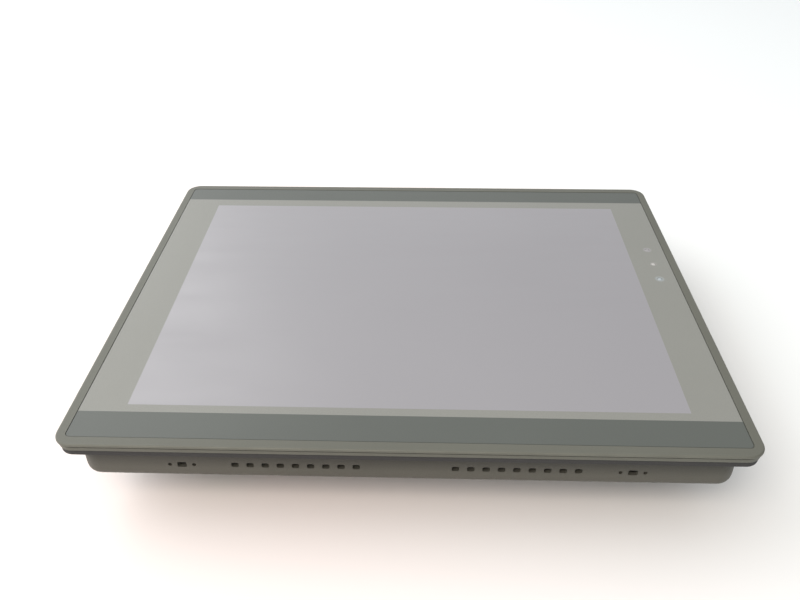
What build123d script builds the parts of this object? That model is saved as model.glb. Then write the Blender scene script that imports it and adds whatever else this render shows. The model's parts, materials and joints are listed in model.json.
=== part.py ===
from build123d import *
import math
import os

# Flush-fronted operator panel for a control cabinet, 15 inch screen, all sizes in millimetres.
# Origin: centre of the rear resting face. +X to the right across the screen, +Y to its top,
# +Z out of the screen. The connectors leave through the -Y wall of the rear hump.

# The screen's visible window and the display around it set every width and height, and the stack of
# layers from the rear wall to the film sets the depth: 366 x 293 x 56 overall.

# ---- front bezel ----
flange_overhang = 7.0
frame_border_x = 5.7
frame_border_y = 6.4
panel_corner_r = 10.0
bezel_depth = 8.0
lip_thick = 1.5
lip_edge_r = 1.0
groove_height = 1.3
groove_depth = 1.0
rim_inset = 0.9
rim_edge_r = 0.8
web_thick = 2.6
boss_r = 3.0

# ---- film, touch sensor and screen window ----
overlay_corner_r = 2.5
overlay_thick = 0.5
overlay_sink = 0.15
window_width = 304.1
window_height = 228.1
window_shift_y = -1.1
touch_margin = 8.95
touch_film_thick = 0.3
touch_glass_thick = 1.8
touch_seal_thick = 0.6
view_margin = 2.5
film_clear = 0.3
touch_clear = 0.3

# ---- status indicators on the right of the film ----
indicator_count = 3
indicator_edge = 10.9
indicator_top_y = 52.7
indicator_pitch = 18.65
indicator_r = 1.5
light_pipe_clear = 0.1
collar_r = 2.6
collar_thick = 1.2
indicator_board_width = 5.4
indicator_board_length = 48.0
led_width = 3.0
led_height = 1.1
led_gap = 0.3
stake_r = 0.9
stake_collar_r = 1.8

# ---- clearance in the cabinet door's cut-out, and the flat gasket under the rim ----
cutout_clear = 1.0
gasket_thick = 3.4
gasket_proud = 0.8
gasket_gap = 0.5
gasket_inset = 0.6

# ---- display module ----
lcd_edge_x = 4.25
lcd_edge_y = 5.75
lcd_side_gap = 9.25
lcd_frame_thick = 1.0
lcd_frame_skirt = 6.0
cell_margin = 6.95
cell_thick = 1.4
diffuser_thick = 0.8
guide_thick = 6.0
reflector_thick = 0.5
light_bar_width = 4.0
tray_thick = 1.0
tray_clear = 0.2
dust_seal_thick = 1.0
bracket_height = 5.0
bracket_thick = 1.2
bracket_width = 14.0
bracket_length = 230.0
bracket_inset = 12.0

# ---- chassis plate and main board ----
chassis_thick = 1.2
chassis_clear = 1.0
standoff_length = 10.7
standoff_flats = 6.0
board_side_gap = 6.5
board_far_gap = 16.0
board_thick = 1.6
board_wall_gap = 1.0
board_hole_inset = 6.0
middle_screw_gap = 4.6
chassis_screw_y = 70.0
hole_clear = 0.3

# ---- rear housing ----
wall = 2.5
rear_room = 17.35
step_clear = 3.95
housing_corner_r = 10.0
step_edge_r = 6.0
hump_inset_x = 40.0
hump_inset_y = 33.5
hump_corner_r = 9.0
hump_edge_r = 4.0
housing_boss_r = 5.0
head_pocket_depth = 3.5

# ---- vents and clamp holes in the long walls ----
vent_count = 9
vent_pitch = 8.1
vent_first_x = 26.3
vent_width = 4.0
vent_height = 3.2
vent_drop = 13.0
vent_corner_r = 1.0
clamp_inset = 55.4
clamp_slot_width = 5.0
clamp_slot_height = 3.6
clamp_corner_r = 0.8
clamp_pin_r = 1.1
clamp_pin_offset = 6.5
clamp_drop = 13.4

# ---- screws ----
screw_r = 1.5
thread_fit = 0.05
screw_head_r = 2.8
screw_head_height = 2.0
cross_width = 0.8
cross_length = 3.4
cross_depth = 1.1
board_screw_length = 6.0
chassis_screw_length = 8.0
bracket_screw_length = 3.6
housing_screw_grip = 8.0

# ---- processor side of the board ----
processor_size = 31.0
processor_thick = 2.3
processor_shift_x = 5.0
processor_shift_y = 27.5
sink_size = 46.0
sink_base = 2.5
sink_height = 9.0
fin_count = 9
fin_thick = 1.4
memory_count = 4
memory_width = 11.0
memory_length = 14.0
memory_thick = 1.2
memory_gap = 22.0
memory_pitch = 18.0
capacitor_r = 4.0
capacitor_height = 10.0
capacitor_pitch = 11.0
capacitor_inset_x = 14.0
capacitor_inset_y = 39.5
capacitor_count = 5
inductor_size = 12.5
inductor_corner_r = 2.0
inductor_height = 6.5
inductor_gap = 11.75
battery_r = 10.0
battery_thick = 3.2
battery_inset_x = 31.0
battery_shift_y = 37.5
holder_wall = 1.6
holder_base = 1.0
battery_clear = 0.15
buzzer_r = 6.0
buzzer_height = 7.0
buzzer_hole_r = 1.0
buzzer_inset_x = 31.0
buzzer_shift_y = 2.5

# ---- cables held inside, and their headers ----
header_height = 4.0
header_depth = 6.0
tail_x = -60.0
tail_width = 18.0
tail_thick = 0.3
tail_bend_r = 1.2
tail_clear = 0.8
tail_lift = 3.5
touch_header_inset = 9.5
display_inset_x = 66.0
display_inset_y = 24.5
display_cable_width = 20.0
display_cable_thick = 0.8
display_cable_reach = 24.0
display_bend_r = 1.5
display_cable_gap = 1.2
lcd_plug_length = 7.0
window_clear = 5.0

# ---- power connector ----
power_inset = 24.5
pin_pitch = 5.08
power_ways = 3
socket_wall = 0.8
socket_height = 9.4
socket_depth = 12.6
socket_cavity_depth = 9.0
socket_recess = 0.4
plug_clear = 0.25
plug_insert = 8.0
plug_reach = 10.5
plug_height = 12.5
plug_end_wall = 0.4
plug_corner_r = 0.6
plug_seat_gap = 0.4
power_pin_size = 1.0
power_pin_length = 6.5
power_pin_clear = 0.35
wire_entry = 3.2
wire_entry_depth = 6.0
terminal_screw_r = 1.9
terminal_screw_length = 5.0
terminal_screw_sink = 0.6
terminal_clear = 0.05
driver_slot_width = 0.7
driver_slot_depth = 0.8

# ---- serial ports ----
serial_count = 2
serial_side_gap = 2.72
serial_gap = 1.2
dsub_width = 17.9
dsub_height = 9.4
dsub_slope = 10.0
dsub_corner_r = 2.2
dsub_sheet = 0.5
dsub_reach = 6.1
dsub_flange_width = 30.8
dsub_flange_corner_r = 1.0
dsub_flange_height = 12.5
dsub_flange_thick = 0.8
dsub_body_width = 19.6
dsub_body_height = 10.6
dsub_body_depth = 9.5
dsub_face_sink = 5.6
dsub_pin_r = 0.5
dsub_pin_pitch = 2.77
dsub_row_pitch = 2.84
dsub_pin_sink = 0.5
jack_spacing = 25.0
jack_flats = 4.8
jack_head_length = 5.0
jack_shank_r = 1.4
jack_thread_r = 1.1
jack_thread_depth = 4.0
jack_shank_past = 2.0
window_gap = 0.4

# ---- network and USB ports ----
ethernet_side_gap = 24.6
ethernet_width = 16.0
ethernet_height = 13.4
ethernet_depth = 21.5
ethernet_cavity_width = 11.8
ethernet_cavity_height = 8.2
ethernet_cavity_depth = 13.5
latch_width = 6.2
latch_height = 2.4
contact_count = 8
contact_pitch = 1.02
contact_width = 0.45
contact_thick = 0.35
contact_length = 7.5
contact_drop = 2.2
port_recess = 0.3
usb_count = 2
usb_side_gap = 11.4
usb_gap = 8.8
usb_width = 13.2
usb_height = 5.8
usb_depth = 14.0
usb_sheet = 0.4
usb_proud = 0.3
usb_tongue_width = 11.0
usb_tongue_thick = 1.8
usb_tongue_length = 8.6
usb_rear_block = 4.0

# ---- reset button and mode switches ----
reset_side_gap = 8.38
reset_body_size = 7.2
reset_body_depth = 6.0
reset_button_r = 1.7
reset_hole_r = 2.1
reset_sink = 0.8
reset_travel = 0.8
reset_engage = 1.8
reset_wall_gap = 1.0
reset_fit = 0.05
dip_side_gap = 2.52
dip_count = 4
dip_pitch = 2.54
dip_height = 9.9
dip_depth = 6.0
dip_end_wall = 0.8
dip_sink = 0.7
lever_width = 1.3
lever_height = 1.4
lever_travel = 1.8
lever_root = 1.8
lever_proud = 0.5
lever_fit = 0.1

# ---- blank plate on the back ----
plate_width = 70.0
plate_height = 40.0
plate_thick = 0.4
plate_sink = 0.1
plate_clear = 0.2
plate_inset_x = 65.0
plate_inset_y = 60.0

# ---- levels worked out from the sizes above, from the rear wall up to the front ----
z_board_back = wall + rear_room
z_board = z_board_back + board_thick
z_chassis_back = z_board + standoff_length
z_chassis = z_chassis_back + chassis_thick
z_lcd_back = z_chassis + bracket_height
z_tray = z_lcd_back + tray_thick
z_reflector = z_tray + reflector_thick
z_guide = z_reflector + guide_thick
z_diffuser = z_guide + diffuser_thick
z_cell = z_diffuser + cell_thick
z_lcd = z_cell + lcd_frame_thick
z_web = z_lcd + dust_seal_thick
z_land = z_web + web_thick
z_seal = z_land + touch_seal_thick
z_glass = z_seal + touch_glass_thick
z_touch = z_glass + touch_film_thick
z_film = z_touch + overlay_thick
z_front = z_film + overlay_sink
z_lip = z_front - lip_thick
z_flange = z_front - bezel_depth
z_gasket = z_flange - gasket_proud
z_gasket_seat = z_gasket + gasket_thick
z_step = z_board_back + step_clear
z_step_floor = z_step + wall
vent_z = z_flange - vent_drop
clamp_z = z_flange - clamp_drop
tail_run_z = z_step_floor + tail_lift

# ---- plan sizes worked out from the sizes above, from the window outwards ----
view_width = window_width + 2 * view_margin
view_height = window_height + 2 * view_margin
touch_width = window_width + 2 * touch_margin
touch_height = window_height + 2 * touch_margin
cell_width = window_width + 2 * cell_margin
cell_height = window_height + 2 * cell_margin
lcd_width = cell_width + 2 * lcd_edge_x
lcd_height = cell_height + 2 * lcd_edge_y
tray_width = lcd_width - 2 * (lcd_frame_thick + tray_clear)
tray_height = lcd_height - 2 * (lcd_frame_thick + tray_clear)
inner_width = lcd_width + 2 * lcd_side_gap
inner_height = lcd_height + 2 * lcd_side_gap
inner_corner_r = housing_corner_r - wall
housing_width = inner_width + 2 * wall
housing_height = inner_height + 2 * wall
cutout_width = housing_width + 2 * cutout_clear
cutout_height = housing_height + 2 * cutout_clear
panel_width = cutout_width + 2 * flange_overhang
panel_height = cutout_height + 2 * flange_overhang
rim_width = panel_width - 2 * rim_inset
rim_height = panel_height - 2 * rim_inset
rim_corner_r = panel_corner_r - rim_inset
ridge_width = cutout_width + 2 * gasket_gap
ridge_height = cutout_height + 2 * gasket_gap
ridge_corner_r = housing_corner_r + cutout_clear + gasket_gap
overlay_width = panel_width - 2 * frame_border_x
overlay_height = panel_height - 2 * frame_border_y
hump_width = housing_width - 2 * hump_inset_x
hump_height = housing_height - 2 * hump_inset_y
hump_inner_width = hump_width - 2 * wall
hump_inner_height = hump_height - 2 * wall
board_width = hump_inner_width - 2 * board_side_gap
board_height = hump_inner_height - board_wall_gap - board_far_gap
boss_x = (lcd_width + inner_width) / 4
boss_y = (lcd_height + inner_height) / 4
boss_points = [(x, y) for x in (-boss_x, 0, boss_x) for y in (-boss_y, 0, boss_y) if (x, y) != (0, 0)]
chassis_points = [(x, y) for x in (-boss_x, boss_x) for y in (-chassis_screw_y, chassis_screw_y)]
y_wall_in = -hump_inner_height / 2
y_wall_out = -hump_height / 2
y_board_edge = y_wall_in + board_wall_gap
y_board = y_board_edge + board_height / 2
hole_x = board_width / 2 - board_hole_inset
hole_y = board_height / 2 - board_hole_inset
bracket_x = lcd_width / 2 - bracket_inset - bracket_width / 2
bracket_points = [(x, y) for x in (-bracket_x, bracket_x)
                  for y in (-bracket_length / 2 + bracket_width, bracket_length / 2 - bracket_width)]
tail_y = -boss_y
indicator_x = overlay_width / 2 - indicator_edge
indicator_ys = [indicator_top_y - index * indicator_pitch for index in range(indicator_count)]

# ---- row of connectors along the -Y wall, each a gap beyond the last ----
plug_width = power_ways * pin_pitch + 2 * plug_end_wall
dip_width = dip_count * dip_pitch + 2 * dip_end_wall
power_x = power_inset - hump_inner_width / 2
reset_x = power_x + plug_width / 2 + reset_side_gap + reset_body_size / 2
dip_x = reset_x + reset_body_size / 2 + dip_side_gap + dip_width / 2
serial_first_x = dip_x + dip_width / 2 + serial_side_gap + dsub_flange_width / 2
serial_xs = [serial_first_x + index * (dsub_flange_width + serial_gap) for index in range(serial_count)]
ethernet_x = serial_xs[-1] + dsub_flange_width / 2 + ethernet_side_gap + ethernet_width / 2
usb_first_x = ethernet_x + ethernet_width / 2 + usb_side_gap + usb_width / 2
usb_xs = [usb_first_x + index * (usb_width + usb_gap) for index in range(usb_count)]

# ---- places on the main board, from its edges and its centre ----
middle_screw_x = serial_xs[-1] + dsub_flange_width / 2 + middle_screw_gap
board_points = [(x, y_board + y) for x in (-hole_x, middle_screw_x, hole_x) for y in (-hole_y, hole_y)]
processor_x = processor_shift_x
processor_y = y_board + processor_shift_y
memory_x = processor_x + processor_size / 2 + memory_gap + memory_width / 2
capacitor_x = -board_width / 2 + capacitor_inset_x
capacitor_y = y_board_edge + capacitor_inset_y
inductor_x = capacitor_x + capacitor_r + inductor_gap + inductor_size / 2
inductor_y = capacitor_y
battery_x = board_width / 2 - battery_inset_x
battery_y = y_board + battery_shift_y
buzzer_x = board_width / 2 - buzzer_inset_x
buzzer_y = y_board - buzzer_shift_y
touch_header_y = y_board_edge + touch_header_inset
display_x = -board_width / 2 + display_inset_x
display_y = y_board_edge + board_height - display_inset_y
clamp_x = housing_width / 2 - clamp_inset
plate_x = hump_width / 2 - plate_inset_x
plate_y = hump_height / 2 - plate_inset_y


def slab(width, height, z_low, z_high, corner_r=0.0, centres=((0, 0),), mode=Mode.ADD):
    """Flat block, or a group of equal ones, between two levels, with rounded upright corners."""
    with BuildSketch(Plane.XY.offset(z_low)) as outline:
        with Locations(*centres):
            if corner_r > 0:
                RectangleRounded(width, height, corner_r)
            else:
                Rectangle(width, height)
    extrude(outline.sketch, amount=z_high - z_low, mode=mode)


def posts(points, radius, z_low, z_high, mode=Mode.ADD):
    """Round posts, or holes, between two levels."""
    with BuildSketch(Plane.XY.offset(z_low)) as outline:
        with Locations(*points):
            Circle(radius)
    extrude(outline.sketch, amount=z_high - z_low, mode=mode)


def block(x, y_front, y_back, z_low, z_high, width, corner_r=0.0, mode=Mode.ADD):
    """Block that runs inwards from y_front to y_back, with its outline drawn in the wall's plane."""
    with BuildSketch(Plane.XZ.offset(-y_front)) as outline:
        with Locations((x, (z_low + z_high) / 2)):
            if corner_r > 0:
                RectangleRounded(width, z_high - z_low, corner_r)
            else:
                Rectangle(width, z_high - z_low)
    extrude(outline.sketch, amount=y_front - y_back, mode=mode)


def rod(x, z, radius, y_front, y_back, mode=Mode.ADD):
    """Round rod, or hole, that runs inwards from y_front to y_back."""
    with BuildSketch(Plane.XZ.offset(-y_front)) as outline:
        with Locations((x, z)):
            Circle(radius)
    extrude(outline.sketch, amount=y_front - y_back, mode=mode)


def rear_screws(points, z_seat, length):
    """Cross-head screws put in from behind: heads below z_seat, shanks up into the part."""
    z_top = z_seat - screw_head_height
    posts(points, screw_head_r, z_top, z_seat)
    posts(points, screw_r, z_seat, z_seat + length)
    with BuildSketch(Plane.XY.offset(z_top)) as crosses:
        with Locations(*points):
            Rectangle(cross_length, cross_width)
            Rectangle(cross_width, cross_length)
    extrude(crosses.sketch, amount=cross_depth, mode=Mode.SUBTRACT)


def keep(piece, name):
    """Name a finished piece and write its STEP file."""
    piece.part.label = name
    export_step(piece.part, f"parts/{name}.step")


os.makedirs("parts", exist_ok=True)

# ---- front bezel: lip, shadow groove, rim, film and touch pockets, bosses behind ----
with BuildPart() as front_bezel:
    slab(rim_width, rim_height, z_gasket_seat, z_lip, rim_corner_r)
    slab(panel_width, panel_height, z_lip, z_front, panel_corner_r)
    fillet(front_bezel.edges().group_by(Axis.Z)[-1], lip_edge_r)
    fillet(front_bezel.edges().group_by(Axis.Z)[0], rim_edge_r)
    # ridge inside the gasket, which meets the door before the gasket is crushed
    slab(ridge_width, ridge_height, z_flange, z_gasket_seat, ridge_corner_r)
    with BuildSketch(Plane.XY.offset(z_lip - groove_height)) as groove:
        RectangleRounded(panel_width, panel_height, panel_corner_r)
        RectangleRounded(rim_width - 2 * groove_depth, rim_height - 2 * groove_depth,
                         rim_corner_r - groove_depth, mode=Mode.SUBTRACT)
    extrude(amount=groove_height, mode=Mode.SUBTRACT)
    slab(overlay_width + 2 * film_clear, overlay_height + 2 * film_clear, z_touch, z_front,
         overlay_corner_r + film_clear, mode=Mode.SUBTRACT)
    slab(touch_width + 2 * touch_clear, touch_height + 2 * touch_clear, z_land, z_touch,
         centres=((0, window_shift_y),), mode=Mode.SUBTRACT)
    slab(view_width, view_height, z_web, z_land, centres=((0, window_shift_y),), mode=Mode.SUBTRACT)
    slab(inner_width, inner_height, z_flange, z_web, inner_corner_r, mode=Mode.SUBTRACT)
    # screw bosses, down to the chassis plate
    posts(boss_points + chassis_points, boss_r, z_chassis, z_web)
    thread_bore_r = screw_r + thread_fit
    posts(boss_points, thread_bore_r, z_chassis, z_chassis + housing_screw_grip + hole_clear, Mode.SUBTRACT)
    posts(chassis_points, thread_bore_r, z_chassis, z_chassis + chassis_screw_length + hole_clear,
          Mode.SUBTRACT)
    # light pipe holes and the stakes that carry the indicator board
    pipe_points = [(indicator_x, y) for y in indicator_ys]
    posts(pipe_points, indicator_r + light_pipe_clear, z_web, z_touch, Mode.SUBTRACT)
    z_led_top = z_web - collar_thick - led_gap
    z_indicator_board = z_led_top - led_height
    stake_points = [(indicator_x, y - indicator_pitch / 2) for y in indicator_ys[:-1]]
    posts(stake_points, stake_collar_r, z_indicator_board, z_web)
    posts(stake_points, stake_r, z_indicator_board - board_thick, z_indicator_board)
    # channel for the flat tail of the touch sensor, under the film and down through the web
    channel_half = tail_width / 2 + tail_clear
    channel_top = -touch_height / 2 + window_shift_y
    slab(2 * channel_half, channel_top - tail_y + tail_clear, z_land, z_touch,
         centres=((tail_x, (channel_top + tail_y - tail_clear) / 2),), mode=Mode.SUBTRACT)
    slab(2 * channel_half, 2 * tail_clear + tail_thick, z_web, z_land,
         centres=((tail_x, tail_y),), mode=Mode.SUBTRACT)
keep(front_bezel, "front_bezel")

# ---- printed film over the whole front, open over the screen and the indicators ----
with BuildPart() as front_overlay:
    with BuildSketch(Plane.XY.offset(z_touch)) as film:
        RectangleRounded(overlay_width, overlay_height, overlay_corner_r)
        with Locations((0, window_shift_y)):
            Rectangle(window_width, window_height, mode=Mode.SUBTRACT)
        with Locations(*pipe_points):
            Circle(indicator_r + light_pipe_clear, mode=Mode.SUBTRACT)
    extrude(amount=overlay_thick)
keep(front_overlay, "front_overlay")

# ---- resistive touch sensor: flexible top film, glass, and the tape ring that seals it ----
with BuildPart() as touch_film:
    slab(touch_width, touch_height, z_glass, z_touch, centres=((0, window_shift_y),))
keep(touch_film, "touch_film")

with BuildPart() as touch_glass:
    slab(touch_width, touch_height, z_seal, z_glass, centres=((0, window_shift_y),))
keep(touch_glass, "touch_glass")

with BuildPart() as touch_seal:
    slab(touch_width, touch_height, z_land, z_seal, centres=((0, window_shift_y),))
    slab(view_width, view_height, z_land, z_seal, centres=((0, window_shift_y),), mode=Mode.SUBTRACT)
keep(touch_seal, "touch_seal")

# ---- flat tail of the touch sensor: over the bezel web, down past the display, to the board ----
tail_start_y = -touch_height / 2 + window_shift_y
tail_start_z = z_seal + touch_glass_thick / 2
with BuildPart() as touch_tail:
    with BuildSketch(Plane.YZ.offset(tail_x)) as tail_profile:
        with BuildLine() as tail_route:
            FilletPolyline((tail_start_y, tail_start_z), (tail_y, tail_start_z), (tail_y, tail_run_z),
                           (touch_header_y, tail_run_z), (touch_header_y, z_board + header_height),
                           radius=tail_bend_r)
        trace(line_width=tail_thick)
    extrude(amount=tail_width / 2, both=True)
keep(touch_tail, "touch_tail")

# ---- panel gasket: a flat frame of foam round the ridge, set back a little from the rim ----
with BuildPart() as panel_gasket:
    slab(rim_width - 2 * gasket_inset, rim_height - 2 * gasket_inset, z_gasket, z_gasket_seat,
         rim_corner_r - gasket_inset)
    slab(ridge_width, ridge_height, z_gasket, z_gasket_seat, ridge_corner_r, mode=Mode.SUBTRACT)
keep(panel_gasket, "panel_gasket")

# ---- light pipes, their small board and its lamps ----
with BuildPart() as light_pipes:
    posts(pipe_points, indicator_r, z_web - collar_thick, z_film)
    posts(pipe_points, collar_r, z_web - collar_thick, z_web)
keep(light_pipes, "light_pipes")

indicator_board_y = (indicator_ys[0] + indicator_ys[-1]) / 2
with BuildPart() as indicator_board:
    slab(indicator_board_width, indicator_board_length, z_indicator_board - board_thick, z_indicator_board,
         centres=((indicator_x, indicator_board_y),))
    posts(stake_points, stake_r + light_pipe_clear, z_indicator_board - board_thick, z_indicator_board,
          Mode.SUBTRACT)
keep(indicator_board, "indicator_board")

with BuildPart() as indicator_leds:
    slab(led_width, led_width, z_indicator_board, z_led_top, centres=pipe_points)
keep(indicator_leds, "indicator_leds")

# ---- display module: dust seal, front frame, cell, diffuser, light guide, reflector, lamps, tray ----
with BuildPart() as dust_seal:
    slab(cell_width, cell_height, z_lcd, z_web)
    slab(view_width, view_height, z_lcd, z_web, centres=((0, window_shift_y),), mode=Mode.SUBTRACT)
keep(dust_seal, "dust_seal")

with BuildPart() as lcd_front_frame:
    slab(lcd_width, lcd_height, z_lcd - lcd_frame_skirt, z_lcd)
    slab(lcd_width - 2 * lcd_frame_thick, lcd_height - 2 * lcd_frame_thick, z_lcd - lcd_frame_skirt, z_cell,
         mode=Mode.SUBTRACT)
    slab(view_width, view_height, z_cell, z_lcd, centres=((0, window_shift_y),), mode=Mode.SUBTRACT)
keep(lcd_front_frame, "lcd_front_frame")

with BuildPart() as lcd_cell:
    slab(cell_width, cell_height, z_diffuser, z_cell)
keep(lcd_cell, "lcd_cell")

with BuildPart() as diffuser_sheet:
    slab(cell_width, cell_height, z_guide, z_diffuser)
keep(diffuser_sheet, "diffuser_sheet")

with BuildPart() as light_guide:
    slab(cell_width, cell_height - 2 * light_bar_width, z_reflector, z_guide)
keep(light_guide, "light_guide")

with BuildPart() as light_bars:
    bar_y = (cell_height - light_bar_width) / 2
    slab(cell_width, light_bar_width, z_reflector, z_guide, centres=((0, -bar_y), (0, bar_y)))
keep(light_bars, "light_bars")

with BuildPart() as reflector_sheet:
    slab(cell_width, cell_height, z_tray, z_reflector)
keep(reflector_sheet, "reflector_sheet")

with BuildPart() as lcd_rear_tray:
    slab(tray_width, tray_height, z_lcd_back, z_cell)
    slab(tray_width - 2 * tray_thick, tray_height - 2 * tray_thick, z_tray, z_cell, mode=Mode.SUBTRACT)
keep(lcd_rear_tray, "lcd_rear_tray")

# ---- folded brackets that carry the display on the chassis plate ----
with BuildPart() as lcd_brackets:
    riser_x = bracket_x + (bracket_width - bracket_thick) / 2
    both_feet = ((-bracket_x, 0), (bracket_x, 0))
    slab(bracket_width, bracket_length, z_chassis, z_chassis + bracket_thick, centres=both_feet)
    slab(bracket_width, bracket_length, z_lcd_back - bracket_thick, z_lcd_back, centres=both_feet)
    slab(bracket_thick, bracket_length, z_chassis, z_lcd_back, centres=((-riser_x, 0), (riser_x, 0)))
    posts(bracket_points, screw_r + thread_fit, z_chassis, z_chassis + bracket_thick, Mode.SUBTRACT)
keep(lcd_brackets, "lcd_brackets")

with BuildPart() as bracket_screws:
    rear_screws(bracket_points, z_chassis_back, bracket_screw_length)
keep(bracket_screws, "bracket_screws")

# ---- chassis plate ----
spigot_r = (standoff_flats / 2 + screw_r + thread_fit) / 2
cable_window_y = display_y + display_cable_thick
with BuildPart() as chassis_plate:
    slab(inner_width - 2 * chassis_clear, inner_height - 2 * chassis_clear, z_chassis_back, z_chassis,
         inner_corner_r - chassis_clear)
    posts(boss_points + chassis_points + bracket_points, screw_r + hole_clear, z_chassis_back, z_chassis,
          Mode.SUBTRACT)
    posts(board_points, spigot_r, z_chassis_back, z_chassis, Mode.SUBTRACT)
    slab(display_cable_width + 2 * window_clear, header_depth + 2 * window_clear, z_chassis_back, z_chassis,
         centres=((display_x, cable_window_y),), mode=Mode.SUBTRACT)
    slab(2 * channel_half, inner_height / 2 + tail_y + window_clear, z_chassis_back, z_chassis,
         centres=((tail_x, (tail_y + window_clear - inner_height / 2) / 2),), mode=Mode.SUBTRACT)
keep(chassis_plate, "chassis_plate")

with BuildPart() as chassis_screws:
    rear_screws(chassis_points, z_chassis_back, chassis_thick + chassis_screw_length)
keep(chassis_screws, "chassis_screws")

# ---- main board on its stand-offs ----
with BuildPart() as board_standoffs:
    with BuildSketch(Plane.XY.offset(z_board)) as hexes:
        with Locations(*board_points):
            RegularPolygon(standoff_flats / 2, 6, major_radius=False)
    extrude(amount=standoff_length)
    posts(board_points, spigot_r, z_chassis_back, z_chassis)
    posts(board_points, screw_r + thread_fit, z_board, z_chassis, Mode.SUBTRACT)
keep(board_standoffs, "board_standoffs")

with BuildPart() as main_board:
    slab(board_width, board_height, z_board_back, z_board, centres=((0, y_board),))
    posts(board_points, screw_r + hole_clear, z_board_back, z_board, Mode.SUBTRACT)
keep(main_board, "main_board")

with BuildPart() as board_screws:
    rear_screws(board_points, z_board_back, board_thick + board_screw_length)
keep(board_screws, "board_screws")

# ---- parts soldered to the board ----
z_processor = z_board_back - processor_thick
with BuildPart() as processor:
    slab(processor_size, processor_size, z_processor, z_board_back, centres=((processor_x, processor_y),))
keep(processor, "processor")

with BuildPart() as heat_sink:
    z_base = z_processor - sink_base
    z_fins = z_processor - sink_height
    slab(sink_size, sink_size, z_base, z_processor, centres=((processor_x, processor_y),))
    fin_pitch = (sink_size - fin_thick) / (fin_count - 1)
    fin_points = [(processor_x - (sink_size - fin_thick) / 2 + index * fin_pitch, processor_y)
                  for index in range(fin_count)]
    slab(fin_thick, sink_size, z_fins, z_base, centres=fin_points)
keep(heat_sink, "heat_sink")

with BuildPart() as memory_chips:
    memory_points = [(memory_x, processor_y + (index - (memory_count - 1) / 2) * memory_pitch)
                     for index in range(memory_count)]
    slab(memory_width, memory_length, z_board_back - memory_thick, z_board_back, centres=memory_points)
keep(memory_chips, "memory_chips")

with BuildPart() as power_inductor:
    slab(inductor_size, inductor_size, z_board_back - inductor_height, z_board_back, inductor_corner_r,
         centres=((inductor_x, inductor_y),))
keep(power_inductor, "power_inductor")

with BuildPart() as board_capacitors:
    capacitor_points = [(capacitor_x, capacitor_y + index * capacitor_pitch)
                        for index in range(capacitor_count)]
    posts(capacitor_points, capacitor_r, z_board_back - capacitor_height, z_board_back)
keep(board_capacitors, "board_capacitors")

holder_r = battery_r + battery_clear + holder_wall
z_battery = z_board_back - holder_base
with BuildPart() as battery_holder:
    posts([(battery_x, battery_y)], holder_r, z_battery - battery_thick, z_board_back)
    posts([(battery_x, battery_y)], battery_r + battery_clear, z_battery - battery_thick, z_battery,
          Mode.SUBTRACT)
keep(battery_holder, "battery_holder")

with BuildPart() as backup_battery:
    posts([(battery_x, battery_y)], battery_r, z_battery - battery_thick, z_battery)
keep(backup_battery, "backup_battery")

with BuildPart() as buzzer:
    posts([(buzzer_x, buzzer_y)], buzzer_r, z_board_back - buzzer_height, z_board_back)
    posts([(buzzer_x, buzzer_y)], buzzer_hole_r, z_board_back - buzzer_height,
          z_board_back - buzzer_height / 2, Mode.SUBTRACT)
keep(buzzer, "buzzer")

with BuildPart() as board_headers:
    slab(display_cable_width, header_depth, z_board, z_board + header_height,
         centres=((display_x, display_y),))
    slab(tail_width, header_depth, z_board, z_board + header_height, centres=((tail_x, touch_header_y),))
keep(board_headers, "board_headers")

# ---- ribbon from the board up through the chassis plate to the display ----
z_ribbon = z_lcd_back - display_cable_gap - display_cable_thick / 2
with BuildPart() as display_cable:
    with BuildSketch(Plane.YZ.offset(display_x)) as ribbon_profile:
        with BuildLine() as ribbon_route:
            FilletPolyline((display_y, z_board + header_height), (display_y, z_ribbon),
                           (display_y + display_cable_reach, z_ribbon), radius=display_bend_r)
        trace(line_width=display_cable_thick)
    extrude(amount=display_cable_width / 2, both=True)
    slab(display_cable_width, lcd_plug_length, z_ribbon - display_cable_thick / 2, z_lcd_back,
         centres=((display_x, display_y + display_cable_reach),))
keep(display_cable, "display_cable")

# ---- power connector: socket on the board, pins, pull-off plug and its clamp screws ----
power_offsets = [(index - (power_ways - 1) / 2) * pin_pitch for index in range(power_ways)]
insert_width = power_ways * pin_pitch - plug_end_wall
socket_width = insert_width + 2 * (plug_clear + socket_wall)
z_socket_low = z_board_back - socket_height
z_socket_mid = z_board_back - socket_height / 2
insert_height = socket_height - 2 * (plug_clear + socket_wall)
y_socket_front = y_wall_out + socket_recess
y_cavity_back = y_socket_front + socket_cavity_depth
with BuildPart() as power_socket:
    block(power_x, y_socket_front, y_socket_front + socket_depth, z_socket_low, z_board_back, socket_width)
    block(power_x, y_socket_front, y_cavity_back, z_socket_low + socket_wall, z_board_back - socket_wall,
          socket_width - 2 * socket_wall, mode=Mode.SUBTRACT)
keep(power_socket, "power_socket")

with BuildPart() as power_pins:
    for offset_x in power_offsets:
        block(power_x + offset_x, y_cavity_back - power_pin_length, y_cavity_back,
              z_socket_mid - power_pin_size / 2, z_socket_mid + power_pin_size / 2, power_pin_size)
keep(power_pins, "power_pins")

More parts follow.
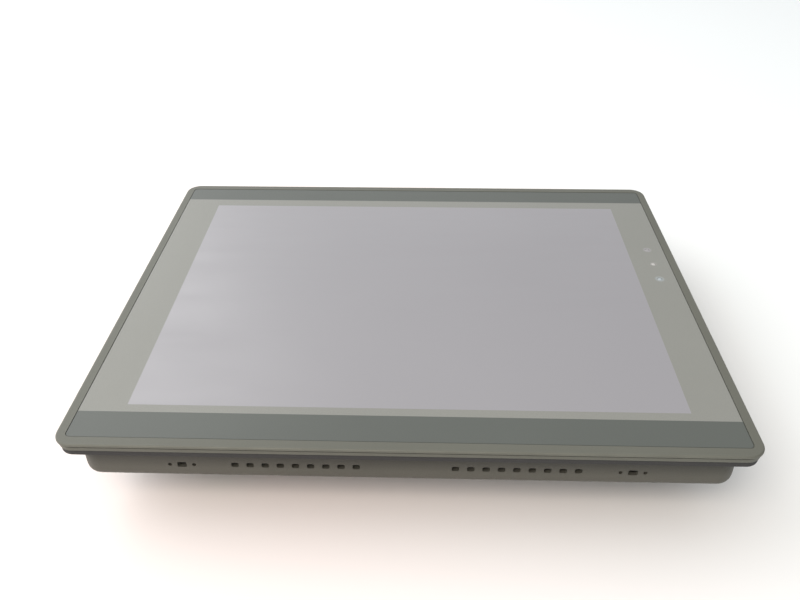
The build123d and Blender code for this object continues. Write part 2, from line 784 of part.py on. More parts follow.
y_plug_face = y_socket_front - plug_seat_gap
y_plug_front = y_plug_face - plug_reach
z_plug_low = z_socket_mid - plug_height / 2
z_terminal = z_plug_low + terminal_screw_sink
y_terminal = (y_plug_face + y_plug_front) / 2
terminal_points = [(power_x + offset_x, y_terminal) for offset_x in power_offsets]
with BuildPart() as power_plug:
    block(power_x, y_plug_front, y_plug_face, z_plug_low, z_plug_low + plug_height, plug_width, plug_corner_r)
    block(power_x, y_plug_face, y_socket_front + plug_insert, z_socket_mid - insert_height / 2,
          z_socket_mid + insert_height / 2, insert_width)
    for offset_x in power_offsets:
        x = power_x + offset_x
        pin_hole = power_pin_size + 2 * power_pin_clear
        block(x, y_cavity_back - power_pin_length - power_pin_clear, y_socket_front + plug_insert,
              z_socket_mid - pin_hole / 2, z_socket_mid + pin_hole / 2, pin_hole, mode=Mode.SUBTRACT)
        block(x, y_plug_front, y_plug_front + wire_entry_depth, z_socket_mid,
              z_socket_mid + wire_entry, wire_entry, mode=Mode.SUBTRACT)
    posts(terminal_points, terminal_screw_r + terminal_clear, z_plug_low,
          z_terminal + terminal_screw_length, Mode.SUBTRACT)
keep(power_plug, "power_plug")

with BuildPart() as terminal_screws:
    posts(terminal_points, terminal_screw_r, z_terminal, z_terminal + terminal_screw_length)
    slab(2 * terminal_screw_r, driver_slot_width, z_terminal, z_terminal + driver_slot_depth,
         centres=terminal_points, mode=Mode.SUBTRACT)
keep(terminal_screws, "terminal_screws")


# ---- serial ports: D-shaped metal shell with flange, moulded insert, pins, jack screws ----
def d_block(x, z, width, height, corner_r, y_front, y_back, mode=Mode.ADD):
    """Block with a rounded D outline, wide side away from the board, that runs inwards."""
    wide = width / 2
    narrow = width / 2 - height * math.tan(math.radians(dsub_slope))
    low = z - height / 2
    high = z + height / 2
    with BuildSketch(Plane.XZ.offset(-y_front)) as outline:
        Polygon((x - narrow, high), (x - wide, low), (x + wide, low), (x + narrow, high), align=None)
        fillet(outline.vertices(), corner_r)
    extrude(outline.sketch, amount=y_front - y_back, mode=mode)


z_dsub = z_board_back - dsub_flange_height / 2
y_dsub_front = y_wall_in - dsub_reach
y_dsub_face = y_dsub_front + dsub_face_sink
y_dsub_flange = y_wall_in + dsub_flange_thick
dsub_pins = [((index - 2) * dsub_pin_pitch, -dsub_row_pitch / 2) for index in range(5)]
dsub_pins += [((index - 1.5) * dsub_pin_pitch, dsub_row_pitch / 2) for index in range(4)]
for number, serial_x in enumerate(serial_xs, start=1):
    with BuildPart() as serial_shell:
        block(serial_x, y_wall_in, y_dsub_flange, z_dsub - dsub_flange_height / 2,
              z_dsub + dsub_flange_height / 2, dsub_flange_width, dsub_flange_corner_r)
        d_block(serial_x, z_dsub, dsub_width, dsub_height, dsub_corner_r, y_dsub_front, y_wall_in)
        d_block(serial_x, z_dsub, dsub_width - 2 * dsub_sheet, dsub_height - 2 * dsub_sheet,
                dsub_corner_r - dsub_sheet, y_dsub_front, y_dsub_flange, mode=Mode.SUBTRACT)
        for side in (-1, 1):
            rod(serial_x + side * jack_spacing / 2, z_dsub, jack_shank_r + hole_clear, y_wall_in,
                y_dsub_flange, Mode.SUBTRACT)
    keep(serial_shell, f"serial_shell_{number}")

    with BuildPart() as serial_insert:
        d_block(serial_x, z_dsub, dsub_width - 2 * dsub_sheet, dsub_height - 2 * dsub_sheet,
                dsub_corner_r - dsub_sheet, y_dsub_face, y_dsub_flange)
        block(serial_x, y_dsub_flange, y_dsub_flange + dsub_body_depth, z_board_back - dsub_body_height,
              z_board_back, dsub_body_width)
    keep(serial_insert, f"serial_insert_{number}")

with BuildPart() as serial_pins:
    for serial_x in serial_xs:
        with BuildSketch(Plane.XZ.offset(-y_dsub_front - dsub_pin_sink)) as pin_rows:
            with Locations(*[(serial_x + pin_x, z_dsub + pin_z) for pin_x, pin_z in dsub_pins]):
                Circle(dsub_pin_r)
        extrude(amount=dsub_pin_sink - dsub_face_sink)
keep(serial_pins, "serial_pins")

with BuildPart() as jack_screws:
    for serial_x in serial_xs:
        for side in (-1, 1):
            jack_x = serial_x + side * jack_spacing / 2
            with BuildSketch(Plane.XZ.offset(-y_wall_out)) as hexagon:
                with Locations((jack_x, z_dsub)):
                    RegularPolygon(jack_flats / 2, 6, major_radius=False)
            extrude(amount=jack_head_length)
            rod(jack_x, z_dsub, jack_shank_r, y_wall_out, y_dsub_flange + jack_shank_past)
            rod(jack_x, z_dsub, jack_thread_r, y_wall_out - jack_head_length,
                y_wall_out - jack_head_length + jack_thread_depth, Mode.SUBTRACT)
keep(jack_screws, "jack_screws")

# ---- network jack and its spring contacts ----
y_jack = y_wall_out + port_recess
z_jack_low = z_board_back - ethernet_height
z_cavity_top = z_board_back - (ethernet_height - ethernet_cavity_height - latch_height) / 2
z_cavity_low = z_cavity_top - ethernet_cavity_height
y_jack_cavity = y_jack + ethernet_cavity_depth
with BuildPart() as ethernet_jack:
    block(ethernet_x, y_jack, y_jack + ethernet_depth, z_jack_low, z_board_back, ethernet_width)
    block(ethernet_x, y_jack, y_jack_cavity, z_cavity_low, z_cavity_top, ethernet_cavity_width,
          mode=Mode.SUBTRACT)
    block(ethernet_x, y_jack, y_jack_cavity, z_cavity_low - latch_height, z_cavity_low, latch_width,
          mode=Mode.SUBTRACT)
keep(ethernet_jack, "ethernet_jack")

with BuildPart() as ethernet_contacts:
    for index in range(contact_count):
        contact_x = ethernet_x + (index - (contact_count - 1) / 2) * contact_pitch
        with BuildSketch(Plane.YZ.offset(contact_x)) as spring:
            Polygon((y_jack_cavity, z_cavity_top), (y_jack_cavity, z_cavity_top - contact_thick),
                    (y_jack_cavity - contact_length, z_cavity_top - contact_drop - contact_thick),
                    (y_jack_cavity - contact_length, z_cavity_top - contact_drop), align=None)
        extrude(amount=contact_width / 2, both=True)
keep(ethernet_contacts, "ethernet_contacts")

# ---- two USB ports ----
y_usb = y_wall_out - usb_proud
y_usb_back = y_usb + usb_depth
z_usb_low = z_board_back - usb_height
z_usb_mid = z_board_back - usb_height / 2
with BuildPart() as usb_shells:
    for usb_x in usb_xs:
        block(usb_x, y_usb, y_usb_back, z_usb_low, z_board_back, usb_width)
        block(usb_x, y_usb, y_usb_back - usb_sheet, z_usb_low + usb_sheet, z_board_back - usb_sheet,
              usb_width - 2 * usb_sheet, mode=Mode.SUBTRACT)
keep(usb_shells, "usb_shells")

with BuildPart() as usb_tongues:
    for usb_x in usb_xs:
        y_block = y_usb_back - usb_sheet - usb_rear_block
        block(usb_x, y_block, y_usb_back - usb_sheet, z_usb_low + usb_sheet, z_board_back - usb_sheet,
              usb_width - 2 * usb_sheet)
        block(usb_x, y_block - usb_tongue_length, y_block, z_usb_mid, z_usb_mid + usb_tongue_thick,
              usb_tongue_width)
keep(usb_tongues, "usb_tongues")

# ---- reset switch and its recessed push button ----
z_reset = z_board_back - reset_body_size / 2
y_reset_face = y_wall_in + reset_wall_gap
y_button_tip = y_wall_out + reset_sink
y_button_root = y_reset_face + reset_engage
with BuildPart() as reset_switch:
    block(reset_x, y_reset_face, y_reset_face + reset_body_depth, z_board_back - reset_body_size,
          z_board_back, reset_body_size)
    rod(reset_x, z_reset, reset_button_r + reset_fit, y_reset_face, y_button_root + reset_travel + reset_fit,
        Mode.SUBTRACT)
keep(reset_switch, "reset_switch")

with BuildPart() as reset_button:
    rod(reset_x, z_reset, reset_button_r, y_button_tip, y_button_root)
keep(reset_button, "reset_button")

# ---- block of slide switches and its levers ----
y_dip = y_wall_out + dip_sink
z_dip_mid = z_board_back - dip_height / 2
slot_height = lever_height + lever_travel + 2 * lever_fit
z_lever = z_dip_mid + (lever_travel + lever_height) / 2
with BuildPart() as dip_switch_body:
    block(dip_x, y_dip, y_dip + dip_depth, z_board_back - dip_height, z_board_back, dip_width)
    for index in range(dip_count):
        lever_x = dip_x + (index - (dip_count - 1) / 2) * dip_pitch
        block(lever_x, y_dip, y_dip + lever_root + lever_fit, z_dip_mid - slot_height / 2,
              z_dip_mid + slot_height / 2, lever_width + 2 * lever_fit, mode=Mode.SUBTRACT)
keep(dip_switch_body, "dip_switch_body")

for index in range(dip_count):
    lever_x = dip_x + (index - (dip_count - 1) / 2) * dip_pitch
    with BuildPart() as dip_lever:
        block(lever_x, y_dip - lever_proud, y_dip + lever_root, z_lever - lever_height, z_lever, lever_width)
    keep(dip_lever, f"dip_lever_{index + 1}")

# ---- rear housing: step, hump, bosses, connector windows, vents and clamp holes ----
head_pocket_r = screw_head_r + hole_clear
z_head_seat = z_step + head_pocket_depth
vent_xs = [side * (vent_first_x + index * vent_pitch) for side in (-1, 1) for index in range(vent_count)]
y_long_wall = housing_height / 2
with BuildPart() as rear_housing:
    slab(housing_width, housing_height, z_step, z_flange, housing_corner_r)
    fillet(rear_housing.edges().group_by(Axis.Z)[0], step_edge_r)
    slab(hump_width, hump_height, 0, z_step_floor, hump_corner_r)
    fillet(rear_housing.edges().group_by(Axis.Z)[0], hump_edge_r)
    slab(inner_width, inner_height, z_step_floor, z_flange, inner_corner_r, mode=Mode.SUBTRACT)
    slab(hump_inner_width, hump_inner_height, wall, z_step_floor, hump_corner_r - wall, mode=Mode.SUBTRACT)
    posts(boss_points, housing_boss_r, z_step_floor, z_chassis_back)
    posts(boss_points, screw_r + hole_clear, z_step, z_chassis_back, Mode.SUBTRACT)
    posts(boss_points, head_pocket_r, z_step, z_head_seat, Mode.SUBTRACT)
    # connector windows
    block(power_x, y_wall_out, y_wall_in, z_socket_low - window_gap, z_board_back + window_gap,
          socket_width + 2 * window_gap, mode=Mode.SUBTRACT)
    for serial_x in serial_xs:
        d_block(serial_x, z_dsub, dsub_width + 2 * window_gap, dsub_height + 2 * window_gap,
                dsub_corner_r + window_gap, y_wall_out, y_wall_in, Mode.SUBTRACT)
        for side in (-1, 1):
            rod(serial_x + side * jack_spacing / 2, z_dsub, jack_shank_r + hole_clear, y_wall_out,
                y_wall_in, Mode.SUBTRACT)
    block(ethernet_x, y_wall_out, y_wall_in, z_jack_low - window_gap, z_board_back + window_gap,
          ethernet_width + 2 * window_gap, mode=Mode.SUBTRACT)
    for usb_x in usb_xs:
        block(usb_x, y_wall_out, y_wall_in, z_usb_low - window_gap, z_board_back + window_gap,
              usb_width + 2 * window_gap, mode=Mode.SUBTRACT)
    rod(reset_x, z_reset, reset_hole_r, y_wall_out, y_wall_in, Mode.SUBTRACT)
    block(dip_x, y_wall_out, y_wall_in, z_board_back - dip_height - window_gap, z_board_back + window_gap,
          dip_width + 2 * window_gap, mode=Mode.SUBTRACT)
    # vents and clamp holes, alike in the lower and upper wall
    for y_outer in (-y_long_wall, y_long_wall - wall):
        with BuildSketch(Plane.XZ.offset(-y_outer)) as wall_holes:
            with Locations(*[(x, vent_z) for x in vent_xs]):
                RectangleRounded(vent_width, vent_height, vent_corner_r)
            with Locations((-clamp_x, clamp_z), (clamp_x, clamp_z)):
                RectangleRounded(clamp_slot_width, clamp_slot_height, clamp_corner_r)
                with Locations((-clamp_pin_offset, 0), (clamp_pin_offset, 0)):
                    Circle(clamp_pin_r)
        extrude(amount=-wall, mode=Mode.SUBTRACT)
    slab(plate_width + 2 * plate_clear, plate_height + 2 * plate_clear, 0, plate_sink + plate_thick,
         centres=((plate_x, plate_y),), mode=Mode.SUBTRACT)
keep(rear_housing, "rear_housing")

with BuildPart() as rating_plate:
    slab(plate_width, plate_height, plate_sink, plate_sink + plate_thick, centres=((plate_x, plate_y),))
keep(rating_plate, "rating_plate")

with BuildPart() as housing_screws:
    rear_screws(boss_points, z_head_seat, z_chassis - z_head_seat + housing_screw_grip)
keep(housing_screws, "housing_screws")
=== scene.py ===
# %% [markdown]
# # An operator touch panel, dressed around its CAD frame
# The frame holds every solid of the panel at its real size. This script gives each one its finish,
# rebuilds the small turned and swept parts in finer detail, and sets up a plain studio around them.
# Everything is in metres, with the panel lying on its back: +X right, +Y to the screen's top, +Z up.

# %% Load the frame
import bpy
import bmesh
import json
import math
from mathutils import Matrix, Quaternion, Vector

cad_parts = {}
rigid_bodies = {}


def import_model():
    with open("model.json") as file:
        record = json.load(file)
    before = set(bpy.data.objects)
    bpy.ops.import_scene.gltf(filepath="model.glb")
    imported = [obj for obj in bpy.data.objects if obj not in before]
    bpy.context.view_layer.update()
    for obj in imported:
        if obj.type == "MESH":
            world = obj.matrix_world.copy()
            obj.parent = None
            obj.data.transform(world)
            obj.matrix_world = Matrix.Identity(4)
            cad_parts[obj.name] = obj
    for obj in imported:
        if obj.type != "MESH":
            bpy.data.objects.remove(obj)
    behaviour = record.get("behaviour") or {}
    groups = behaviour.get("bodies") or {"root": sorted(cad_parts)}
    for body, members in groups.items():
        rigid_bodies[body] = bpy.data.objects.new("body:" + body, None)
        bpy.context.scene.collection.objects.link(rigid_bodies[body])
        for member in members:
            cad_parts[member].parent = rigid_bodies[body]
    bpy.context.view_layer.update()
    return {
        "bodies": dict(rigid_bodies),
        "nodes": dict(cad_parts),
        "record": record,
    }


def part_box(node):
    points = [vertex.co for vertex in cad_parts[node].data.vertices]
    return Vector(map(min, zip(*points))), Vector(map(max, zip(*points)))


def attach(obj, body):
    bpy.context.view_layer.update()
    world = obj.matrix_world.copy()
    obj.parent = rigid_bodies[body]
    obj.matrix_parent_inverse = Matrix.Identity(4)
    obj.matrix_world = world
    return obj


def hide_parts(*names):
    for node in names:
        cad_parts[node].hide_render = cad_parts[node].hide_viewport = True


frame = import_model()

scene = bpy.context.scene
nodes = frame["nodes"]
MM = 0.001

# %% [markdown]
# ## Levels and outlines that the finishes need
# The printed bands, the wear along the edges and the camera's aim are all placed from the solids, whose
# boxes are read from the frame here. If the solids grow, the finishes follow them.

# %% Read the main boxes
film_low, film_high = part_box("front_overlay")
bezel_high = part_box("front_bezel")[1]
screen_level = film_high.z
body_of = {name: next(body for body, empty in frame["bodies"].items() if node.parent == empty)
           for name, node in nodes.items()}
slot_of = {row["node"]: row["material_slot"] for row in frame["record"]["subparts"]}
print("film", tuple(film_high - film_low), "front level", screen_level)

# %% [markdown]
# ## Helpers for node trees
# Shader trees and geometry trees are built the same way: make a node, set its settings, and give each
# input either a number or another node's output. One helper does that, so a finish reads top to bottom.

# %% Node helpers
def put(tree, kind, values=None, **settings):
    """Adds a node. values maps an input's name or number to a value or to another node's output."""
    made = tree.nodes.new(kind)
    for name, value in settings.items():
        setattr(made, name, value)
    for socket, value in (values or {}).items():
        if isinstance(value, bpy.types.NodeSocket):
            tree.links.new(value, made.inputs[socket])
        else:
            made.inputs[socket].default_value = value
    return made


def linear(red, green, blue):
    """A colour given as it looks on a screen, 0 to 255, as the linear values that a shader takes."""
    def one(value):
        value = value / 255
        return value / 12.92 if value <= 0.04045 else ((value + 0.055) / 1.055) ** 2.4
    return (one(red), one(green), one(blue), 1.0)


def shaded(colour, factor):
    """The same colour, lighter or darker."""
    return (colour[0] * factor, colour[1] * factor, colour[2] * factor, 1.0)


def start(name, **values):
    """A new material, its tree, its shader and its object coordinates."""
    made = bpy.data.materials.new(name)
    made.use_nodes = True
    tree = made.node_tree
    shader = tree.nodes["Principled BSDF"]
    for socket, value in values.items():
        shader.inputs[socket.replace("_", " ")].default_value = value
    return made, tree, shader, put(tree, "ShaderNodeTexCoord").outputs["Object"]


def math_node(tree, operation, *values):
    return put(tree, "ShaderNodeMath", dict(enumerate(values)), operation=operation).outputs[0]


def blend_colour(tree, factor, first, second):
    return put(tree, "ShaderNodeMix", {0: factor, 6: first, 7: second}, data_type="RGBA").outputs[2]


def remap(tree, value, low, high, out_low, out_high):
    return put(tree, "ShaderNodeMapRange", {"Value": value, "From Min": low, "From Max": high,
                                            "To Min": out_low, "To Max": out_high}).outputs[0]


def noise(tree, place, scale, detail=2.0):
    return put(tree, "ShaderNodeTexNoise", {"Vector": place, "Scale": scale, "Detail": detail}).outputs[0]


def length_of(tree, x, y):
    """The length of a flat vector."""
    squares = [math_node(tree, "POWER", value, 2.0) for value in (x, y)]
    return math_node(tree, "SQRT", math_node(tree, "ADD", *squares))


def beyond(tree, along, reach):
    """How far a place lies past this distance from the middle, along one axis."""
    return math_node(tree, "SUBTRACT", math_node(tree, "ABSOLUTE", along), reach)


def patchy(tree, patches, colour, darker, lighter):
    """A colour that wanders between two of its shades in slow patches."""
    return blend_colour(tree, remap(tree, patches, 0.3, 0.7, 0.0, 1.0),
                        shaded(colour, darker), shaded(colour, lighter))


def wire(tree, output, shader, socket):
    tree.links.new(output, shader.inputs[socket])


def raise_grain(tree, shader, cells, strength, depth):
    """Lets the cells of the grain catch the light."""
    raised = put(tree, "ShaderNodeBump", {"Height": cells, "Strength": strength, "Distance": depth})
    wire(tree, raised.outputs[0], shader, "Normal")


# %% [markdown]
# ## A finish with grain
# Moulded and painted surfaces all share three layers: slow patches of colour, roughness that wanders a
# little, and a fine grain that catches the light. One function makes them with different amounts, which
# keeps each finish short and still lets it have its own scale.

# %% Grained finishes
def grained(name, colour, roughness, grain, bump, patch=0.06, patch_scale=14.0, metal=0.0, stretch=None):
    """A finish with colour patches, uneven roughness and a grain. grain is the size of its cells."""
    made, tree, shader, place = start(name, Metallic=metal)
    fine = place
    if stretch:
        fine = put(tree, "ShaderNodeMapping", {"Vector": place, "Scale": stretch}).outputs[0]
    patches = noise(tree, place, patch_scale, 3.0)
    cells = noise(tree, fine, 1.0 / grain, 3.0)
    mixed = patchy(tree, patches, colour, 1 - patch, 1 + patch)
    speckled = blend_colour(tree, remap(tree, cells, 0.35, 0.75, 0.0, 0.35), mixed, shaded(colour, 0.8))
    wire(tree, speckled, shader, "Base Color")
    wire(tree, remap(tree, cells, 0.3, 0.7, roughness - 0.06, roughness + 0.08), shader, "Roughness")
    raise_grain(tree, shader, cells, bump, grain * 0.15)
    return made


# %% [markdown]
# ## The front bezel's coat
# The frame round the film is a casting with a satin, slightly warm grey-green coat. Where hands and
# tools rub the outer edge the coat is polished and a shade lighter, so a wear mask is worked out from
# the distance to the edge. It could be painted by hand, but a formula keeps it even and exportable.

# %% Bezel coat
coat_colour = linear(86, 87, 79)
rub_width = 1.6 * MM


def bezel_coat():
    made, tree, shader, place = start("bezel_coat", Specular_IOR_Level=0.4)
    axes = put(tree, "ShaderNodeSeparateXYZ", {0: place}).outputs
    patches = noise(tree, place, 9.0, 3.0)
    cells = noise(tree, place, 2600.0, 2.0)
    out_x = beyond(tree, axes[0], bezel_high.x - rub_width)
    out_y = beyond(tree, axes[1], bezel_high.y - rub_width)
    near_edge = remap(tree, math_node(tree, "MAXIMUM", out_x, out_y), 0.0, rub_width, 0.0, 1.0)
    rubbed = math_node(tree, "MULTIPLY", near_edge, remap(tree, noise(tree, place, 60.0, 4.0),
                                                          0.35, 0.7, 0.1, 0.6))
    base = patchy(tree, patches, coat_colour, 0.95, 1.06)
    worn = blend_colour(tree, rubbed, base, shaded(coat_colour, 1.35))
    speckled = blend_colour(tree, remap(tree, cells, 0.4, 0.8, 0.0, 0.3), worn, shaded(coat_colour, 0.75))
    wire(tree, speckled, shader, "Base Color")
    wire(tree, remap(tree, rubbed, 0.0, 0.6, 0.52, 0.38), shader, "Roughness")
    raise_grain(tree, shader, cells, 0.25, 0.06 * MM)
    return made


# %% [markdown]
# ## The printed film
# One polyester film covers the whole front. It is printed in a mid grey with a darker band across the top and
# the bottom, and its face has a fine matt texture. The bands are straight, so their mask is only a height
# along Y compared with two levels, with a very short ramp that stands for the ink's edge. Round each
# indicator the ink is a little paler, and along the film's cut edge a painted shade darkens it, standing for
# the shadow in the narrow gap to the frame. Both are masks of a distance: from the indicator's middle, and
# from the film's rounded outline.

# %% Film with its bands
upper_band, lower_band = 17.6 * MM, 19.2 * MM
band_top = film_high.y - upper_band
band_low = film_low.y + lower_band
ink_edge = 0.12 * MM
film_light = linear(121, 122, 117)
film_dark = linear(75, 79, 75)
film_corner = 2.5 * MM
edge_shade_width = 0.4 * MM
pad_edge = 0.5 * MM
collar_radius = 2.6 * MM
pipe_low, pipe_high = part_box("light_pipes")
lamp_pads = [(2.7 * MM, linear(138, 137, 138)), (2.0 * MM, linear(146, 145, 143)),
             (3.0 * MM, linear(135, 140, 140))]
lamp_count = len(lamp_pads)
lamp_x = (pipe_low.x + pipe_high.x) / 2
lamp_pitch = (pipe_high.y - pipe_low.y - 2 * collar_radius) / (lamp_count - 1)
lamp_ys = [pipe_high.y - collar_radius - index * lamp_pitch for index in range(lamp_count)]


def with_lamp_pads(tree, axes, colour):
    """The film's colour, with a soft round patch of pale ink round each indicator."""
    for level, (radius, ink) in zip(lamp_ys, lamp_pads):
        away = length_of(tree, math_node(tree, "SUBTRACT", axes[0], lamp_x),
                         math_node(tree, "SUBTRACT", axes[1], level))
        inside = remap(tree, away, radius + pad_edge, radius - pad_edge, 0.0, 1.0)
        colour = blend_colour(tree, inside, colour, ink)
    return colour


def overlay_print():
    made, tree, shader, place = start("overlay_print", Specular_IOR_Level=0.45)
    axes = put(tree, "ShaderNodeSeparateXYZ", {0: place}).outputs
    above = remap(tree, axes[1], band_top - ink_edge, band_top + ink_edge, 0.0, 1.0)
    below = remap(tree, axes[1], band_low + ink_edge, band_low - ink_edge, 0.0, 1.0)
    in_band = math_node(tree, "MAXIMUM", above, below)
    patches = remap(tree, noise(tree, place, 7.0, 3.0), 0.3, 0.7, 0.0, 1.0)
    cells = noise(tree, place, 1900.0, 3.0)
    light = blend_colour(tree, patches, shaded(film_light, 0.97), shaded(film_light, 1.04))
    dark = blend_colour(tree, patches, shaded(film_dark, 0.95), shaded(film_dark, 1.05))
    corner_x = math_node(tree, "MAXIMUM", beyond(tree, axes[0], film_high.x - film_corner), 0.0)
    corner_y = math_node(tree, "MAXIMUM", beyond(tree, axes[1], film_high.y - film_corner), 0.0)
    outside = length_of(tree, corner_x, corner_y)
    # Painted shade: the film's outer 0.4 mm is darkened, standing for the shadow in the gap between the film
    # and the frame.
    gap_shade = remap(tree, outside, film_corner - edge_shade_width, film_corner - 0.5 * edge_shade_width, 0.0, 0.35)
    inked = with_lamp_pads(tree, axes, blend_colour(tree, in_band, light, dark))
    print_and_gap_shade = blend_colour(tree, gap_shade, inked, shaded(film_dark, 0.3))
    speckled = blend_colour(tree, remap(tree, cells, 0.4, 0.8, 0.0, 0.22), print_and_gap_shade, shaded(film_dark, 0.8))
    wire(tree, speckled, shader, "Base Color")
    wire(tree, remap(tree, cells, 0.3, 0.7, 0.40, 0.54), shader, "Roughness")
    raise_grain(tree, shader, cells, 0.3, 0.05 * MM)
    return made


# %% [markdown]
# ## The screen's face
# The touch film over the unlit screen is an anti-glare hard coat: grey with a hint of violet, and hazy,
# so it shows no mirror image, only a soft sheen. Faint wipe marks and fingertips change its roughness.

# %% Screen film
screen_colour = linear(128, 127, 131)


def screen_film():
    made, tree, shader, place = start("screen_film", Specular_IOR_Level=0.8)
    wiped = put(tree, "ShaderNodeMapping", {"Vector": place, "Scale": (3.0, 14.0, 1.0),
                                            "Rotation": (0.0, 0.0, 0.5)}).outputs[0]
    smears = noise(tree, wiped, 4.0, 5.0)
    cells = noise(tree, place, 3200.0, 2.0)
    patches = noise(tree, place, 4.0, 2.0)
    wire(tree, patchy(tree, patches, screen_colour, 0.97, 1.04), shader, "Base Color")
    wire(tree, remap(tree, smears, 0.35, 0.7, 0.30, 0.42), shader, "Roughness")
    raise_grain(tree, shader, cells, 0.25, 0.03 * MM)
    return made


# %% [markdown]
# ## The housing's coat
# The rear housing has a coarser, matt texture in nearly the bezel's warm grey, a shade darker. Right under
# the bezel's rim a painted shade, standing for the shadow of the overhanging rim, darkens it further, and
# this fades out a finger's width below. The fade is a ramp over the height, so it follows the wall all the
# way round.

# %% Housing coat
housing_colour = linear(81, 80, 73)
rim_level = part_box("panel_gasket")[0].z
shade_darkest_level, shade_gone_level = rim_level - 7 * MM, rim_level - 15 * MM


def housing_coat():
    made, tree, shader, place = start("housing_coat", Specular_IOR_Level=0.35)
    axes = put(tree, "ShaderNodeSeparateXYZ", {0: place}).outputs
    patches = noise(tree, place, 12.0, 3.0)
    cells = noise(tree, place, 1400.0, 3.0)
    base = patchy(tree, patches, housing_colour, 0.95, 1.05)
    speckled = blend_colour(tree, remap(tree, cells, 0.35, 0.75, 0.0, 0.35), base,
                            shaded(housing_colour, 0.8))
    # Painted shade: the wall is darkest 7 mm under the rim, and the shade is gone 15 mm under it. It stands
    # for the rim's shadow.
    shade_fade = remap(tree, axes[2], shade_darkest_level, shade_gone_level, 0.55, 1.0)
    rim_shaded = blend_colour(tree, shade_fade, shaded(housing_colour, 0.0), speckled)
    wire(tree, rim_shaded, shader, "Base Color")
    wire(tree, remap(tree, cells, 0.3, 0.7, 0.48, 0.64), shader, "Roughness")
    raise_grain(tree, shader, cells, 0.35, 0.1 * MM)
    return made


# %% [markdown]
# ## The other finishes
# Inside and behind the panel are plain engineering finishes: foam, plated steel, brass, green board,
# moulded plastics. Each is one call with its own colour, grain and scale. Brushed and rolled metals get
# a grain that is stretched along one axis, which is what makes them look rolled.

# %% Finishes by slot
rolled = (1.0, 0.05, 1.0)
finishes = {
    "bezel_coat": bezel_coat(),
    "overlay_print": overlay_print(),
    "screen_film": screen_film(),
    "housing_coat": housing_coat(),
    "black_foam": grained("black_foam", (0.03, 0.03, 0.03, 1), 0.85, 0.0006, 0.8),
    "amber_flex": grained("amber_flex", (0.42, 0.17, 0.03, 1), 0.35, 0.0010, 0.1),
    "board_laminate": grained("board_laminate", (0.015, 0.11, 0.05, 1), 0.38, 0.0012, 0.2, 0.15, 60.0),
    "white_plastic": grained("white_plastic", (0.70, 0.70, 0.66, 1), 0.42, 0.0005, 0.1),
    "sheet_steel": grained("sheet_steel", (0.50, 0.51, 0.51, 1), 0.34, 0.0009, 0.1, 0.08, 25.0, 1.0, rolled),
    "dark_cell": grained("dark_cell", (0.03, 0.033, 0.04, 1), 0.20, 0.0010, 0.05),
    "plated_steel": grained("plated_steel", (0.56, 0.56, 0.53, 1), 0.30, 0.0004, 0.1, 0.08, 90.0, 1.0),
    "turned_brass": grained("turned_brass", (0.70, 0.48, 0.17, 1), 0.28, 0.0003, 0.1, 0.08, 90.0, 1.0),
    "black_plastic": grained("black_plastic", (0.018, 0.018, 0.02, 1), 0.45, 0.0004, 0.2),
    "fin_aluminium": grained("fin_aluminium", (0.62, 0.63, 0.64, 1), 0.36, 0.0006, 0.15, 0.06, 40.0, 1.0,
                             rolled),
    "terminal_plastic": grained("terminal_plastic", (0.02, 0.18, 0.06, 1), 0.42, 0.0005, 0.15),
    "port_shell": grained("port_shell", (0.60, 0.60, 0.57, 1), 0.26, 0.0005, 0.1, 0.08, 60.0, 1.0, rolled),
    "dip_red": grained("dip_red", (0.35, 0.02, 0.015, 1), 0.40, 0.0004, 0.15),
    "label_metal": grained("label_metal", (0.60, 0.61, 0.62, 1), 0.38, 0.0005, 0.1, 0.04, 30.0, 0.8, rolled),
}


def clear_finish(name, tint, roughness, see_through):
    """Glass or acrylic, with faint roughness patches so that it isn't spotless."""
    made, tree, shader, place = start(name, Base_Color=tint, Transmission_Weight=see_through, IOR=1.49)
    haze = noise(tree, place, 30.0, 4.0)
    wire(tree, remap(tree, haze, 0.35, 0.7, roughness, roughness + 0.12), shader, "Roughness")
    return made


finishes["clear_glass"] = clear_finish("clear_glass", (0.86, 0.92, 0.90, 1), 0.03, 0.9)
finishes["clear_plastic"] = clear_finish("clear_plastic", (0.90, 0.92, 0.93, 1), 0.10, 0.7)

for name, node in nodes.items():
    if not node.material_slots:
        node.data.materials.append(None)
    for material_slot in node.material_slots:
        material_slot.material = finishes[slot_of[name]]
print("finished nodes:", len(nodes), "finishes:", len(finishes))

# %% [markdown]
# ## Masters: turned, cut and softened shapes
# Screws, pins and lenses are turned parts. A lathe shape is a short profile of radius and height, spun
# round an axis, and that is how they are made here. Recesses and chamfers are then cut with a boolean,
# as a punch or a mill would. Everything is built standing on the origin along +Z and placed later.

# %% Turning and cutting
def add_object(name, data):
    made = bpy.data.objects.new(name, data)
    scene.collection.objects.link(made)
    return made


def finish_mesh(name, work):
    """The object that a working mesh becomes."""
    mesh = bpy.data.meshes.new(name)
    work.to_mesh(mesh)
    work.free()
    return add_object(name, mesh)


def turned(name, profile, steps=32):
    """A closed lathe shape from (radius, height) pairs that start and end on the axis."""
    work = bmesh.new()
    rings = []
    for radius, height in profile:
        count = 1 if radius == 0 else steps
        rings.append([work.verts.new((radius * math.cos(2 * math.pi * i / steps),
                                      radius * math.sin(2 * math.pi * i / steps), height))
                      for i in range(count)])
    for lower, upper in zip(rings, rings[1:]):
        for i in range(steps):
            corners = [lower[i % len(lower)], lower[(i + 1) % len(lower)],
                       upper[(i + 1) % len(upper)], upper[i % len(upper)]]
            work.faces.new(dict.fromkeys(corners))
    bmesh.ops.recalc_face_normals(work, faces=work.faces)
    return finish_mesh(name, work)


